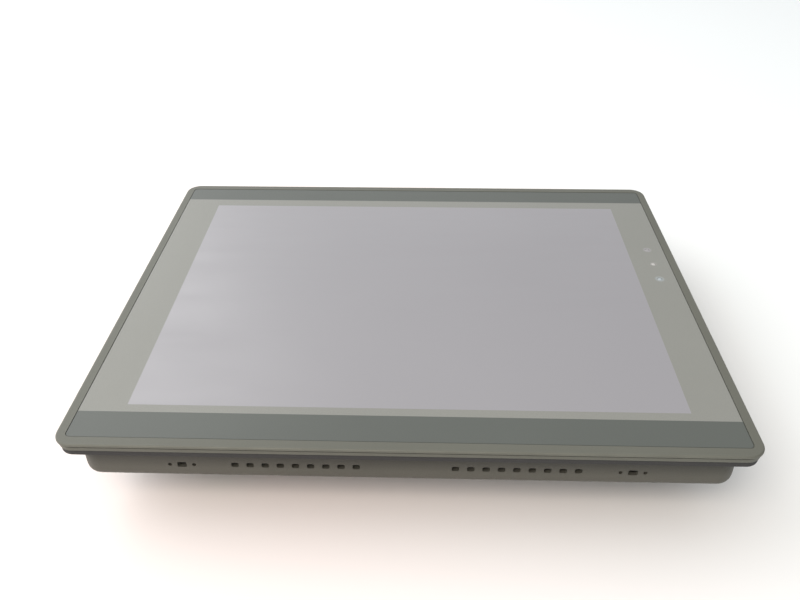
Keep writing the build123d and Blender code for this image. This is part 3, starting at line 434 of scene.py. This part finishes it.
def prism(name, outline, low, high, end_scale=1.0):
    """A straight or tapered bar with this XY outline between two heights."""
    work = bmesh.new()
    ends = [[work.verts.new((x * scale, y * scale, height)) for x, y in outline]
            for height, scale in ((low, 1.0), (high, end_scale))]
    work.faces.new(ends[0][::-1])
    work.faces.new(ends[1])
    for i in range(len(outline)):
        j = (i + 1) % len(outline)
        work.faces.new((ends[0][i], ends[0][j], ends[1][j], ends[1][i]))
    bmesh.ops.recalc_face_normals(work, faces=work.faces)
    return finish_mesh(name, work)


def rectangle(width, depth):
    x, y = width / 2, depth / 2
    return [(-x, -y), (x, -y), (x, y), (-x, y)]


def settled(piece):
    """Makes what the modifiers show the piece's own plain mesh."""
    bpy.context.view_layer.update()
    mesh = bpy.data.meshes.new_from_object(piece.evaluated_get(bpy.context.evaluated_depsgraph_get()))
    piece.modifiers.clear()
    piece.data = mesh
    return piece


def carved(piece, cutter, operation="DIFFERENCE"):
    cut = piece.modifiers.new("cut", "BOOLEAN")
    cut.object = cutter
    cut.operation = operation
    settled(piece)
    bpy.data.objects.remove(cutter)
    return piece


# %% [markdown]
# ## One tree for everything that stands in rows
# Screws, pins, springs and ribs all stand on regular grids. One Geometry Nodes tree turns a number of
# columns and rows into points, drops the middle one if asked, gives each copy its own random turn, and
# lays the finished grid on any face. Copying by hand would hide the rule; here it is in named inputs.

# %% Grid of copies
def group_tree(name, inputs):
    """An empty geometry tree with these named inputs, and its input sockets by name."""
    tree = bpy.data.node_groups.new(name, "GeometryNodeTree")
    tree.interface.new_socket("Geometry", in_out="OUTPUT", socket_type="NodeSocketGeometry")
    for title, kind in inputs.items():
        tree.interface.new_socket(title, in_out="INPUT", socket_type="NodeSocket" + kind)
    return tree, put(tree, "NodeGroupInput").outputs


def close_tree(tree, shape, finish):
    """Ends a tree as the export needs it: real geometry that carries its material."""
    real = put(tree, "GeometryNodeRealizeInstances", {"Geometry": shape}).outputs[0]
    painted = put(tree, "GeometryNodeSetMaterial", {"Geometry": real, "Material": finish}).outputs[0]
    put(tree, "NodeGroupOutput", {"Geometry": painted})
    return tree


def grid_tree():
    tree, given = group_tree("copies_on_a_grid", {
        "Piece": "Object", "Columns": "Int", "Rows": "Int", "Pitch X": "Float", "Pitch Y": "Float",
        "Centre": "Vector", "Tilt": "Vector", "Leave Out Middle": "Bool", "Turn": "Float", "Seed": "Int",
        "Finish": "Material"})
    index = put(tree, "GeometryNodeInputIndex").outputs[0]
    column = math_node(tree, "MODULO", index, given["Columns"])
    row = math_node(tree, "FLOOR", math_node(tree, "DIVIDE", index, given["Columns"]))

    def along(number, count, pitch):
        middle = math_node(tree, "MULTIPLY", math_node(tree, "SUBTRACT", count, 1.0), 0.5)
        return math_node(tree, "MULTIPLY", math_node(tree, "SUBTRACT", number, middle), pitch)

    x = along(column, given["Columns"], given["Pitch X"])
    y = along(row, given["Rows"], given["Pitch Y"])
    place = put(tree, "ShaderNodeCombineXYZ", {0: x, 1: y}).outputs[0]
    count = math_node(tree, "MULTIPLY", given["Columns"], given["Rows"])
    points = put(tree, "GeometryNodePoints", {"Count": count, "Position": place}).outputs[0]
    from_middle = put(tree, "ShaderNodeVectorMath", {0: place}, operation="LENGTH").outputs["Value"]
    is_middle = put(tree, "FunctionNodeCompare", {"A": from_middle, "B": 0.1 * MM},
                    operation="LESS_THAN").outputs[0]
    dropped = put(tree, "FunctionNodeBooleanMath", {0: is_middle, 1: given["Leave Out Middle"]},
                  operation="AND").outputs[0]
    kept = put(tree, "GeometryNodeDeleteGeometry", {"Geometry": points, "Selection": dropped}).outputs[0]
    piece = put(tree, "GeometryNodeObjectInfo", {"Object": given["Piece"]}).outputs["Geometry"]
    turn = put(tree, "FunctionNodeRandomValue", {"Min": 0.0, "Max": given["Turn"], "Seed": given["Seed"]})
    angle = put(tree, "ShaderNodeCombineXYZ", {2: turn.outputs["Value"]}).outputs[0]
    turned_by = put(tree, "FunctionNodeEulerToRotation", {0: angle}).outputs[0]
    copies = put(tree, "GeometryNodeInstanceOnPoints", {"Points": kept, "Instance": piece,
                                                        "Rotation": turned_by}).outputs[0]
    tilted = put(tree, "FunctionNodeEulerToRotation", {0: given["Tilt"]}).outputs[0]
    laid = put(tree, "GeometryNodeTransform", {"Geometry": copies, "Translation": given["Centre"],
                                               "Rotation": tilted}).outputs[0]
    return close_tree(tree, laid, given["Finish"])


copies_on_a_grid = grid_tree()


def grow(name, tree, inputs):
    """Runs a tree with these inputs and returns the result as a plain mesh object."""
    piece = add_object(name, bpy.data.meshes.new(name))
    made = piece.modifiers.new("tree", "NODES")
    made.node_group = tree
    for item in tree.interface.items_tree:
        if item.in_out == "INPUT" and item.name in inputs:
            made[item.identifier] = inputs[item.name]
    settled(piece)
    print(name, "faces:", len(piece.data.polygons))
    return piece


def copies(name, master, finish, columns, rows, pitch_x, pitch_y, centre=(0, 0, 0), tilt=(0, 0, 0),
           leave_out_middle=False, turn=0.0, seed=1):
    """A grid of the master, which is used up."""
    piece = grow(name, copies_on_a_grid, {
        "Piece": master, "Columns": columns, "Rows": rows, "Pitch X": float(pitch_x),
        "Pitch Y": float(pitch_y), "Centre": [float(value) for value in centre],
        "Tilt": [float(value) for value in tilt], "Leave Out Middle": leave_out_middle,
        "Turn": float(turn), "Seed": seed, "Finish": finish})
    bpy.data.objects.remove(master)
    return piece


def carried_by(piece, node):
    """The piece moves with this CAD node."""
    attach(piece, body_of[node])


def stands_for(piece, node):
    """The piece takes the place and body of this CAD node."""
    carried_by(piece, node)
    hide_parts(node)


def foot_of(low, high):
    """The middle of a box's lowest face, where a piece that stands up starts."""
    middle = (low + high) / 2
    return (middle.x, middle.y, low.z)


def root_of(low, high):
    """The middle of a box's inner face, where a piece that points out of the near wall starts."""
    middle = (low + high) / 2
    return (middle.x, high.y, middle.z)


def smoothed(piece, angle=35):
    """Smooth shading that keeps edges sharper than the angle."""
    for face in piece.data.polygons:
        face.use_smooth = True
    piece.data.set_sharp_from_angle(angle=math.radians(angle))
    return piece


# %% [markdown]
# ## Cross-head screws
# All the screws go in from behind: eight through the housing, six in the main board, four each in the
# chassis plate and in the display brackets. A real one has a pan head with a rounded edge, a tapered
# cross recess and a rolled thread. One master per length is turned and punched, then set out in rows.

# %% Screws
screw_radius, head_radius, head_height = 1.5 * MM, 2.8 * MM, 2.0 * MM
thread_pitch, thread_depth = 0.5 * MM, 0.2 * MM
cross_length, cross_width, cross_depth = 3.4 * MM, 0.8 * MM, 1.2 * MM


def cross_head_screw(length):
    """A pan-head screw with its head at the bottom, as it is seen from behind the panel."""
    profile = [(0, 0), (0.72 * head_radius, 0), (0.9 * head_radius, 0.12 * head_height),
               (head_radius, 0.42 * head_height), (head_radius, head_height), (screw_radius, head_height)]
    turns = int((length - head_height) / thread_pitch) - 1
    for index in range(turns):
        level = head_height + (index + 0.5) * thread_pitch
        profile.append((screw_radius, level))
        profile.append((screw_radius - thread_depth, level + 0.5 * thread_pitch))
    profile += [(0.6 * screw_radius, length), (0, length)]
    screw = turned("screw_master", profile, 24)
    for arm in ((cross_length, cross_width), (cross_width, cross_length)):
        carved(screw, prism("cross_punch", rectangle(*arm), -0.3 * MM, cross_depth, 0.55))
    return smoothed(screw)


def screw_set(node, columns, rows, seed, leave_out_middle=False):
    low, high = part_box(node)
    pitches = [(span - 2 * head_radius) / max(count - 1, 1)
               for span, count in ((high.x - low.x, columns), (high.y - low.y, rows))]
    made = copies(node + "_turned", cross_head_screw(high.z - low.z), finishes[slot_of[node]], columns,
                  rows, *pitches, foot_of(low, high), leave_out_middle=leave_out_middle,
                  turn=2 * math.pi, seed=seed)
    stands_for(made, node)


screw_set("housing_screws", 3, 3, 11, leave_out_middle=True)
screw_set("board_screws", 3, 2, 12)
screw_set("chassis_screws", 2, 2, 13)
screw_set("bracket_screws", 2, 2, 14)

# %% [markdown]
# ## The panel gasket
# A flat frame of black closed-cell foam lies under the rim and seals the panel to the cabinet door.
# From outside it is the dark layer below the bezel. Its route is a rectangle with rounded corners, so
# a tree sweeps a soft profile along exactly that curve. Bending a long box would crease its corners.

# %% Gasket
def gasket_tree():
    tree, given = group_tree("gasket_bead", {
        "Width": "Float", "Height": "Float", "Corner": "Float", "Bead Width": "Float",
        "Bead Height": "Float", "Softness": "Float", "Level": "Float", "Finish": "Material"})
    route = put(tree, "GeometryNodeCurvePrimitiveQuadrilateral",
                {"Width": given["Width"], "Height": given["Height"]}).outputs[0]
    rounded = put(tree, "GeometryNodeFilletCurve", {"Curve": route, "Count": 12, "Radius": given["Corner"]},
                  mode="POLY").outputs[0]
    profile = put(tree, "GeometryNodeCurvePrimitiveQuadrilateral",
                  {"Width": given["Bead Width"], "Height": given["Bead Height"]}).outputs[0]
    soft = put(tree, "GeometryNodeFilletCurve", {"Curve": profile, "Count": 4, "Radius": given["Softness"]},
               mode="POLY").outputs[0]
    bead = put(tree, "GeometryNodeCurveToMesh", {"Curve": rounded, "Profile Curve": soft}).outputs[0]
    smooth = put(tree, "GeometryNodeSetShadeSmooth", {"Geometry": bead}).outputs[0]
    lift = put(tree, "ShaderNodeCombineXYZ", {2: given["Level"]}).outputs[0]
    laid = put(tree, "GeometryNodeTransform", {"Geometry": smooth, "Translation": lift}).outputs[0]
    return close_tree(tree, laid, given["Finish"])


gasket_low, gasket_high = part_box("panel_gasket")
bead_width, bead_softness = 5.0 * MM, 0.55 * MM
gasket_corner = 8.5 * MM
gasket = grow("panel_gasket_bead", gasket_tree(), {
    "Width": gasket_high.x - gasket_low.x - bead_width, "Height": gasket_high.y - gasket_low.y - bead_width,
    "Corner": gasket_corner - bead_width / 2, "Bead Width": bead_width,
    "Bead Height": gasket_high.z - gasket_low.z, "Softness": bead_softness,
    "Level": (gasket_low.z + gasket_high.z) / 2, "Finish": finishes["black_foam"]})
stands_for(gasket, "panel_gasket")

# %% [markdown]
# ## Status indicators
# Three light pipes end flush with the film, a short way right of the screen. They are clear acrylic
# with a milky, slightly domed end, so they look pale even when nothing is lit. The uppermost is duller
# and the lowest a little bluer, as the tinted inserts of such lamps are.

# %% Light pipes
pipe_radius, collar_height = 1.5 * MM, 1.2 * MM
pipe_length = pipe_high.z - pipe_low.z
lens_tints = {"upper": linear(140, 139, 140), "middle": linear(170, 169, 166),
              "lower": linear(152, 160, 164)}
for lamp_y, (title, tint) in zip(lamp_ys, lens_tints.items()):
    pipe = turned("pipe_master", [
        (0, 0), (collar_radius, 0), (collar_radius, collar_height), (pipe_radius, collar_height),
        (pipe_radius, pipe_length - 0.35 * MM), (0.86 * pipe_radius, pipe_length - 0.12 * MM),
        (0.5 * pipe_radius, pipe_length - 0.03 * MM), (0, pipe_length)])
    finish = grained("lens_" + title, tint, 0.22, 0.0006, 0.05, 0.04, 200.0)
    lens = copies("light_pipe_" + title, smoothed(pipe), finish, 1, 1, 0, 0, (lamp_x, lamp_y, pipe_low.z))
    stands_for(lens, "light_pipes")

# %% [markdown]
# ## Softened mouldings and pressings
# The solids have knife edges. Moulded plastic and folded sheet never do, and it is the small rounded
# edge that catches the light. Each connector is therefore copied, its loose triangles are joined into
# plain faces, and a fine bevel is run along every sharp edge.

# %% Softened copies
def softened(node, width):
    mesh = nodes[node].data.copy()
    work = bmesh.new()
    work.from_mesh(mesh)
    bmesh.ops.remove_doubles(work, verts=work.verts, dist=0.002 * MM)
    bmesh.ops.dissolve_limit(work, angle_limit=math.radians(1.0), verts=work.verts, edges=work.edges)
    work.to_mesh(mesh)
    work.free()
    piece = add_object(node + "_softened", mesh)
    bevel = piece.modifiers.new("edge", "BEVEL")
    bevel.width = width
    bevel.segments = 2
    bevel.angle_limit = math.radians(40)
    stands_for(smoothed(settled(piece), 50), node)


soft_edges = {"power_plug": 0.25, "power_socket": 0.12, "ethernet_jack": 0.12, "usb_shells": 0.06,
              "usb_tongues": 0.12, "serial_shell_1": 0.10, "serial_shell_2": 0.10, "serial_insert_1": 0.10,
              "serial_insert_2": 0.10, "dip_switch_body": 0.12, "reset_switch": 0.15, "rating_plate": 0.06,
              "buzzer": 0.30, "power_inductor": 0.40, "processor": 0.20, "memory_chips": 0.12,
              "board_headers": 0.15}
soft_edges.update({f"dip_lever_{index}": 0.12 for index in range(1, 5)})
for node, width in soft_edges.items():
    softened(node, width * MM)
print("softened:", len(soft_edges))

# %% [markdown]
# ## Serial pins
# Each port is a nine-way male plug: five pins above four, half a pitch apart. A pin is turned, with a
# rounded tip. Two grids make one port's rows, and a grid of the joined rows makes both ports.

# %% Pins
def joined(name, *parts):
    """Several mesh objects as one, with the parts used up."""
    work = bmesh.new()
    for part in parts:
        work.from_mesh(part.data)
        bpy.data.objects.remove(part)
    return finish_mesh(name, work)


facing_out = (math.pi / 2, 0, 0)
port_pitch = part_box("serial_shell_2")[0].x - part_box("serial_shell_1")[0].x
pin_low, pin_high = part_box("serial_pins")
pin_radius, pin_tip, pin_pitch, row_pitch = 0.5 * MM, 0.7 * MM, 2.77 * MM, 2.84 * MM
pin_length = pin_high.y - pin_low.y
brass = finishes["turned_brass"]


def pin_row(count, level):
    pin = turned("pin_master", [(0, 0), (pin_radius, 0), (pin_radius, pin_length - pin_tip),
                                (0.8 * pin_radius, pin_length - 0.25 * MM),
                                (0.4 * pin_radius, pin_length - 0.04 * MM), (0, pin_length)], 16)
    return copies("pin_row", smoothed(pin), brass, count, 1, pin_pitch, 0, (0, level, 0))


pin_field = joined("pin_field", pin_row(5, -row_pitch / 2), pin_row(4, row_pitch / 2))
pins = copies("serial_pins_turned", pin_field, brass, 2, 1, port_pitch, 0, root_of(pin_low, pin_high),
              facing_out)
stands_for(pins, "serial_pins")

# %% [markdown]
# ## Jack screws
# A hexagonal jack screw stands on each side of a serial port, with chamfered corners and a threaded
# bore for the cable's thumb screws. It is a hexagonal bar cut by two turned tools, one for the chamfer
# and one for the thread, which is how it is made.

# %% Hexagonal jack screws
jack_low, jack_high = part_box("jack_screws")
flats, jack_head, jack_chamfer, shank_radius = 4.8 * MM, 5.0 * MM, 0.5 * MM, 1.4 * MM
bore_radius, bore_depth, bore_pitch, bore_turns = 1.1 * MM, 4.0 * MM, 0.6 * MM, 7
jack_spacing = 25.0 * MM
hex_corner = flats / math.sqrt(3)
jack_length = jack_high.y - jack_low.y


def jack_screw():
    low, clear = jack_length - jack_head, 1.02 * hex_corner
    angles = [math.pi / 3 * side for side in range(6)]
    hexagon = [(hex_corner * math.cos(angle), hex_corner * math.sin(angle)) for angle in angles]
    screw = prism("jack_master", hexagon, low, jack_length)
    carved(screw, turned("chamfer_tool", [(0, low), (flats / 2, low), (clear, low + jack_chamfer),
                                          (clear, jack_length - jack_chamfer),
                                          (flats / 2, jack_length), (0, jack_length)], 48), "INTERSECT")
    thread = [(0, jack_length - bore_depth)]
    for index in range(bore_turns):
        level = jack_length - bore_depth + index * bore_pitch
        thread += [(bore_radius, level), (bore_radius - 0.15 * MM, level + 0.5 * bore_pitch)]
    thread += [(bore_radius + 0.25 * MM, jack_length + 0.1 * MM), (0, jack_length + 0.1 * MM)]
    carved(screw, turned("tap", thread, 32))
    shank = turned("jack_shank", [(0, 0), (0.8 * shank_radius, 0), (shank_radius, 0.4 * MM),
                                  (shank_radius, low + 0.05 * MM), (0, low + 0.05 * MM)], 32)
    return smoothed(carved(screw, shank, "UNION"))


steel = finishes[slot_of["jack_screws"]]
pair = copies("jack_pair", jack_screw(), steel, 2, 1, jack_spacing, 0, turn=math.pi / 5, seed=4)
jacks = copies("jack_screws_turned", pair, steel, 2, 1, port_pitch, 0, root_of(jack_low, jack_high),
               facing_out)
stands_for(jacks, "jack_screws")

# %% [markdown]
# ## Clamp screws of the power plug
# The wires are held by three slotted screws that face backwards. Their heads are slightly domed and the
# slot runs right across. They are turned, slotted with a saw-like cut and set out at the pin pitch,
# each left at its own angle, as a fitter leaves them.

# %% Clamp screws
clamp_low, clamp_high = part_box("terminal_screws")
clamp_radius, slot_width, slot_depth = 1.9 * MM, 0.7 * MM, 0.9 * MM
clamp_count = 3
clamp_pitch = (clamp_high.x - clamp_low.x - 2 * clamp_radius) / (clamp_count - 1)
clamp_length = clamp_high.z - clamp_low.z
clamp_screw = turned("clamp_master", [(0, 0), (0.6 * clamp_radius, 0), (0.92 * clamp_radius, 0.25 * MM),
                                      (clamp_radius, 0.6 * MM), (clamp_radius, clamp_length),
                                      (0, clamp_length)])
carved(clamp_screw, prism("saw", rectangle(4.2 * MM, slot_width), -0.1 * MM, slot_depth))
clamp_screws = copies("terminal_screws_turned", smoothed(clamp_screw), finishes[slot_of["terminal_screws"]],
                      clamp_count, 1, clamp_pitch, 0, foot_of(clamp_low, clamp_high), turn=math.pi, seed=7)
stands_for(clamp_screws, "terminal_screws")

# %% [markdown]
# ## Grip ribs on the plug
# A thumb pulls the plug off by the ribs on its wide side. Each rib is a low bar with sloping sides. They
# stand a quarter of a millimetre proud, so a real shape catches the light there and not a bump.

# %% Plug ribs
plug_low, plug_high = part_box("power_plug")
rib_length, rib_width, rib_proud, rib_pitch = 10.0 * MM, 0.8 * MM, 0.25 * MM, 1.6 * MM
grip_from_face = 7.9 * MM
rib = prism("rib_master", rectangle(rib_length, rib_width), -0.1 * MM, rib_proud, 0.7)
ribs = copies("plug_ribs", rib, finishes["terminal_plastic"], 1, 3, 0, rib_pitch,
              ((plug_low.x + plug_high.x) / 2, plug_low.y + grip_from_face, plug_high.z))
carried_by(ribs, "power_plug")

# %% [markdown]
# ## Lamps and springs of the network and USB ports
# The network jack has two small lamp windows beside its latch, and each USB shell has two spring
# tongues that hold the plug. They are small, but without them a port is only a box with a hole.

# %% Port details
network_low, network_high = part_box("ethernet_jack")
lamp_width, lamp_height, lamp_proud = 2.4 * MM, 1.5 * MM, 0.12 * MM
lamp_aside, lamp_above = 6.2 * MM, 1.5 * MM
for side, title, tint in ((-1, "amber", linear(205, 150, 50)), (1, "green", linear(90, 170, 80))):
    lamp_finish = grained("lamp_" + title, tint, 0.2, 0.0005, 0.05, 0.04, 300.0)
    lamp = prism("lamp_master", rectangle(lamp_width, lamp_height), -0.3 * MM, lamp_proud, 0.9)
    centre = ((network_low.x + network_high.x) / 2 + side * lamp_aside, network_low.y,
              network_low.z + lamp_above)
    lamp_window = copies("network_lamp_" + title, lamp, lamp_finish, 1, 1, 0, 0, centre, facing_out)
    carried_by(lamp_window, "ethernet_jack")

usb_low, usb_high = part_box("usb_shells")
shell_width, shell_sheet = 13.2 * MM, 0.4 * MM
spring_width, spring_sheet, spring_pitch, spring_lap = 2.2 * MM, 0.25 * MM, 5.4 * MM, 0.02 * MM
spring_recess = 0.4 * MM
usb_pitch = usb_high.x - usb_low.x - shell_width


def spring_tongue():
    """A tongue of spring sheet that bends inwards and back, drawn from its side and laid along Y."""
    side = [(0.0, 0.0), (1.5, -0.12), (3.0, -0.55), (4.2, -0.75), (5.2, -0.45)]
    outline = [(y * MM, z * MM) for y, z in side]
    outline += [(y, z - spring_sheet) for y, z in reversed(outline)]
    tongue = prism("tongue_master", outline, -spring_width / 2, spring_width / 2)
    tongue.data.transform(Quaternion((0, 1, 0), math.pi / 2).to_matrix().to_4x4()
                          @ Quaternion((0, 0, 1), math.pi / 2).to_matrix().to_4x4())
    return tongue


tongues = copies("usb_tongue_pair", spring_tongue(), finishes["port_shell"], 2, 1, spring_pitch, 0)
usb_centre = ((usb_low.x + usb_high.x) / 2, usb_low.y + spring_recess,
              usb_high.z - shell_sheet + spring_lap)
springs = copies("usb_springs", tongues, finishes["port_shell"], 2, 1, usb_pitch, 0, usb_centre)
carried_by(springs, "usb_shells")

# %% [markdown]
# ## Reset button and board capacitors
# The reset button is a turned pin with a rounded tip, on its own sliding body. The capacitors are
# aluminium cans with a rolled groove near the foot and a rounded top rim.

# %% Button and cans
button_low, button_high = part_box("reset_button")
button_radius = (button_high.x - button_low.x) / 2
button_length = button_high.y - button_low.y
button = turned("button_master", [(0, 0), (button_radius, 0), (button_radius, button_length - 0.5 * MM),
                                  (0.86 * button_radius, button_length - 0.15 * MM),
                                  (0.6 * button_radius, button_length), (0, button_length)])
push = copies("reset_button_turned", smoothed(button), finishes[slot_of["reset_button"]], 1, 1, 0, 0,
              root_of(button_low, button_high), facing_out)
stands_for(push, "reset_button")

can_low, can_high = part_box("board_capacitors")
can_radius = (can_high.x - can_low.x) / 2
can_height = can_high.z - can_low.z
can = turned("can_master", [(0, 0), (0.82 * can_radius, 0), (0.95 * can_radius, 0.25 * MM),
                            (can_radius, 0.8 * MM), (can_radius, can_height - 2.6 * MM),
                            (0.92 * can_radius, can_height - 2.1 * MM), (can_radius, can_height - 1.6 * MM),
                            (can_radius, can_height), (0, can_height)])
can_count = 5
can_pitch = (can_high.y - can_low.y - 2 * can_radius) / (can_count - 1)
cans = copies("board_capacitors_turned", smoothed(can), finishes[slot_of["board_capacitors"]], 1, can_count,
              0, can_pitch, foot_of(can_low, can_high))
stands_for(cans, "board_capacitors")

# %% [markdown]
# ## The clear window
# The printed film is one sheet and is clear over the screen, so nothing steps down at the screen's
# edge. The film's solid is open there, because one solid has one finish. The touch film under it is
# therefore made again with a raised field that fills the opening flush, a margin inside its own edge.
# Then the edge of the screen is a change of tone and not a groove.

# %% Clear window
touch_low, touch_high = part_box("touch_film")
touch_margin, field_lap = 8.95 * MM, 0.1 * MM


def lying_sheet(name, inset, low, high):
    """A flat sheet that lies this far inside the touch film's outline."""
    middle = (touch_low.y + touch_high.y) / 2
    size = touch_high - touch_low
    outline = rectangle(size.x - 2 * inset, size.y - 2 * inset)
    return prism(name, [(x, y + middle) for x, y in outline], low, high)


window = joined("touch_film_with_window",
                lying_sheet("touch_sheet", 0.0, touch_low.z, touch_high.z),
                lying_sheet("clear_field", touch_margin, touch_high.z - field_lap, screen_level))
window.data.materials.append(finishes["screen_film"])
stands_for(window, "touch_film")

# %% [markdown]
# ## Table
# The panel lies on a wide, pale table that is lit until it is almost white, so no horizon shows and only
# the space under the housing darkens. The table has a faint warm tint on the left that turns cooler to
# the right, as a white surface has under mixed daylight and lamp light.

# %% Table
def pale_table():
    half, level = 5.0, -0.05 * MM
    mesh = bpy.data.meshes.new("studio_table")
    mesh.from_pydata([(-half, -half, level), (half, -half, level), (half, half, level), (-half, half, level)],
                     [], [(0, 1, 2, 3)])
    made, tree, shader, place = start("table_white", Specular_IOR_Level=0.2)
    across = put(tree, "ShaderNodeSeparateXYZ", {0: place}).outputs[0]
    cloudy = noise(tree, place, 3.0, 3.0)
    tint = blend_colour(tree, remap(tree, across, -0.05, 0.25, 0.0, 1.0), (0.80, 0.745, 0.73, 1),
                        (0.745, 0.765, 0.765, 1))
    wire(tree, tint, shader, "Base Color")
    wire(tree, remap(tree, cloudy, 0.3, 0.7, 0.55, 0.7), shader, "Roughness")
    mesh.materials.append(made)
    add_object("studio_table", mesh)


pale_table()

# %% [markdown]
# ## Light
# A bright surround that falls off from left to right, as in a room with its window on the left, gives
# most of the light and the broad, soft shadow on the right. Three soft panels add direction. A panel's
# size sets how soft its shadow's edge is, and its power is worked out from the share of brightness that
# it should add to a white table, so that all of them can be balanced in plain numbers.

# %% Lights
def surround():
    """A pale dome that is bright on the left and dimmer on the right."""
    left, right = 1.90, 0.30
    world = bpy.data.worlds.new("surround")
    world.use_nodes = True
    tree = world.node_tree
    sky = tree.nodes["Background"]
    way = put(tree, "ShaderNodeSeparateXYZ",
              {0: put(tree, "ShaderNodeTexCoord").outputs["Generated"]}).outputs
    tree.links.new(remap(tree, way[0], -1.0, 1.0, left, right), sky.inputs[1])
    sky.inputs[0].default_value = (0.965, 0.985, 1.0, 1)
    scene.world = world
    scene.view_settings.view_transform = "Standard"


def soft_panel(name, place, size, share, tint=(1.0, 1.0, 1.0)):
    """A square area light that looks at the panel and adds this share to a white table's brightness."""
    away = Vector(place)
    light = bpy.data.lights.new(name, "AREA")
    light.shape = "SQUARE"
    light.size = size
    light.energy = share * math.pi ** 2 * away.length ** 3 / away.z
    light.color = tint
    lamp = add_object(name, light)
    lamp.location = away
    lamp.rotation_euler = away.to_track_quat("Z", "Y").to_euler()
    print(name, "power", round(light.energy, 1))


surround()
soft_panel("left_light", (-1.0, 0.1, 0.8), 0.8, 0.15)
soft_panel("front_light", (-0.4, -0.95, 1.25), 0.9, 0.29, (1.20, 1.0, 0.82))
soft_panel("rear_left_light", (-0.8, 0.9, 0.9), 0.9, 0.11)

# %% [markdown]
# ## Camera
# The view is that of someone standing close in front of the table: a slightly wide lens, half a metre
# from the screen and about thirty-five degrees above it. The place is worked out from the angles and
# the distance, so the view stays on the screen's face if the panel's depth changes.

# %% Camera
aim = Vector((-6.7 * MM, -13.0 * MM, screen_level))
distance, elevation, azimuth, roll = 0.5077, math.radians(34.99), math.radians(1.93), math.radians(-0.38)
away = Vector((math.sin(azimuth) * math.cos(elevation), -math.cos(azimuth) * math.cos(elevation),
               math.sin(elevation)))
view_lens = bpy.data.cameras.new("view")
view_lens.sensor_width = 36.0
view_lens.lens = 35.38
camera = add_object("view", view_lens)
camera.location = aim + distance * away
camera.rotation_euler = ((-away).to_track_quat("-Z", "Y") @ Quaternion((0, 0, 1), roll)).to_euler()
scene.camera = camera
print("camera at", tuple(round(value, 4) for value in camera.location))
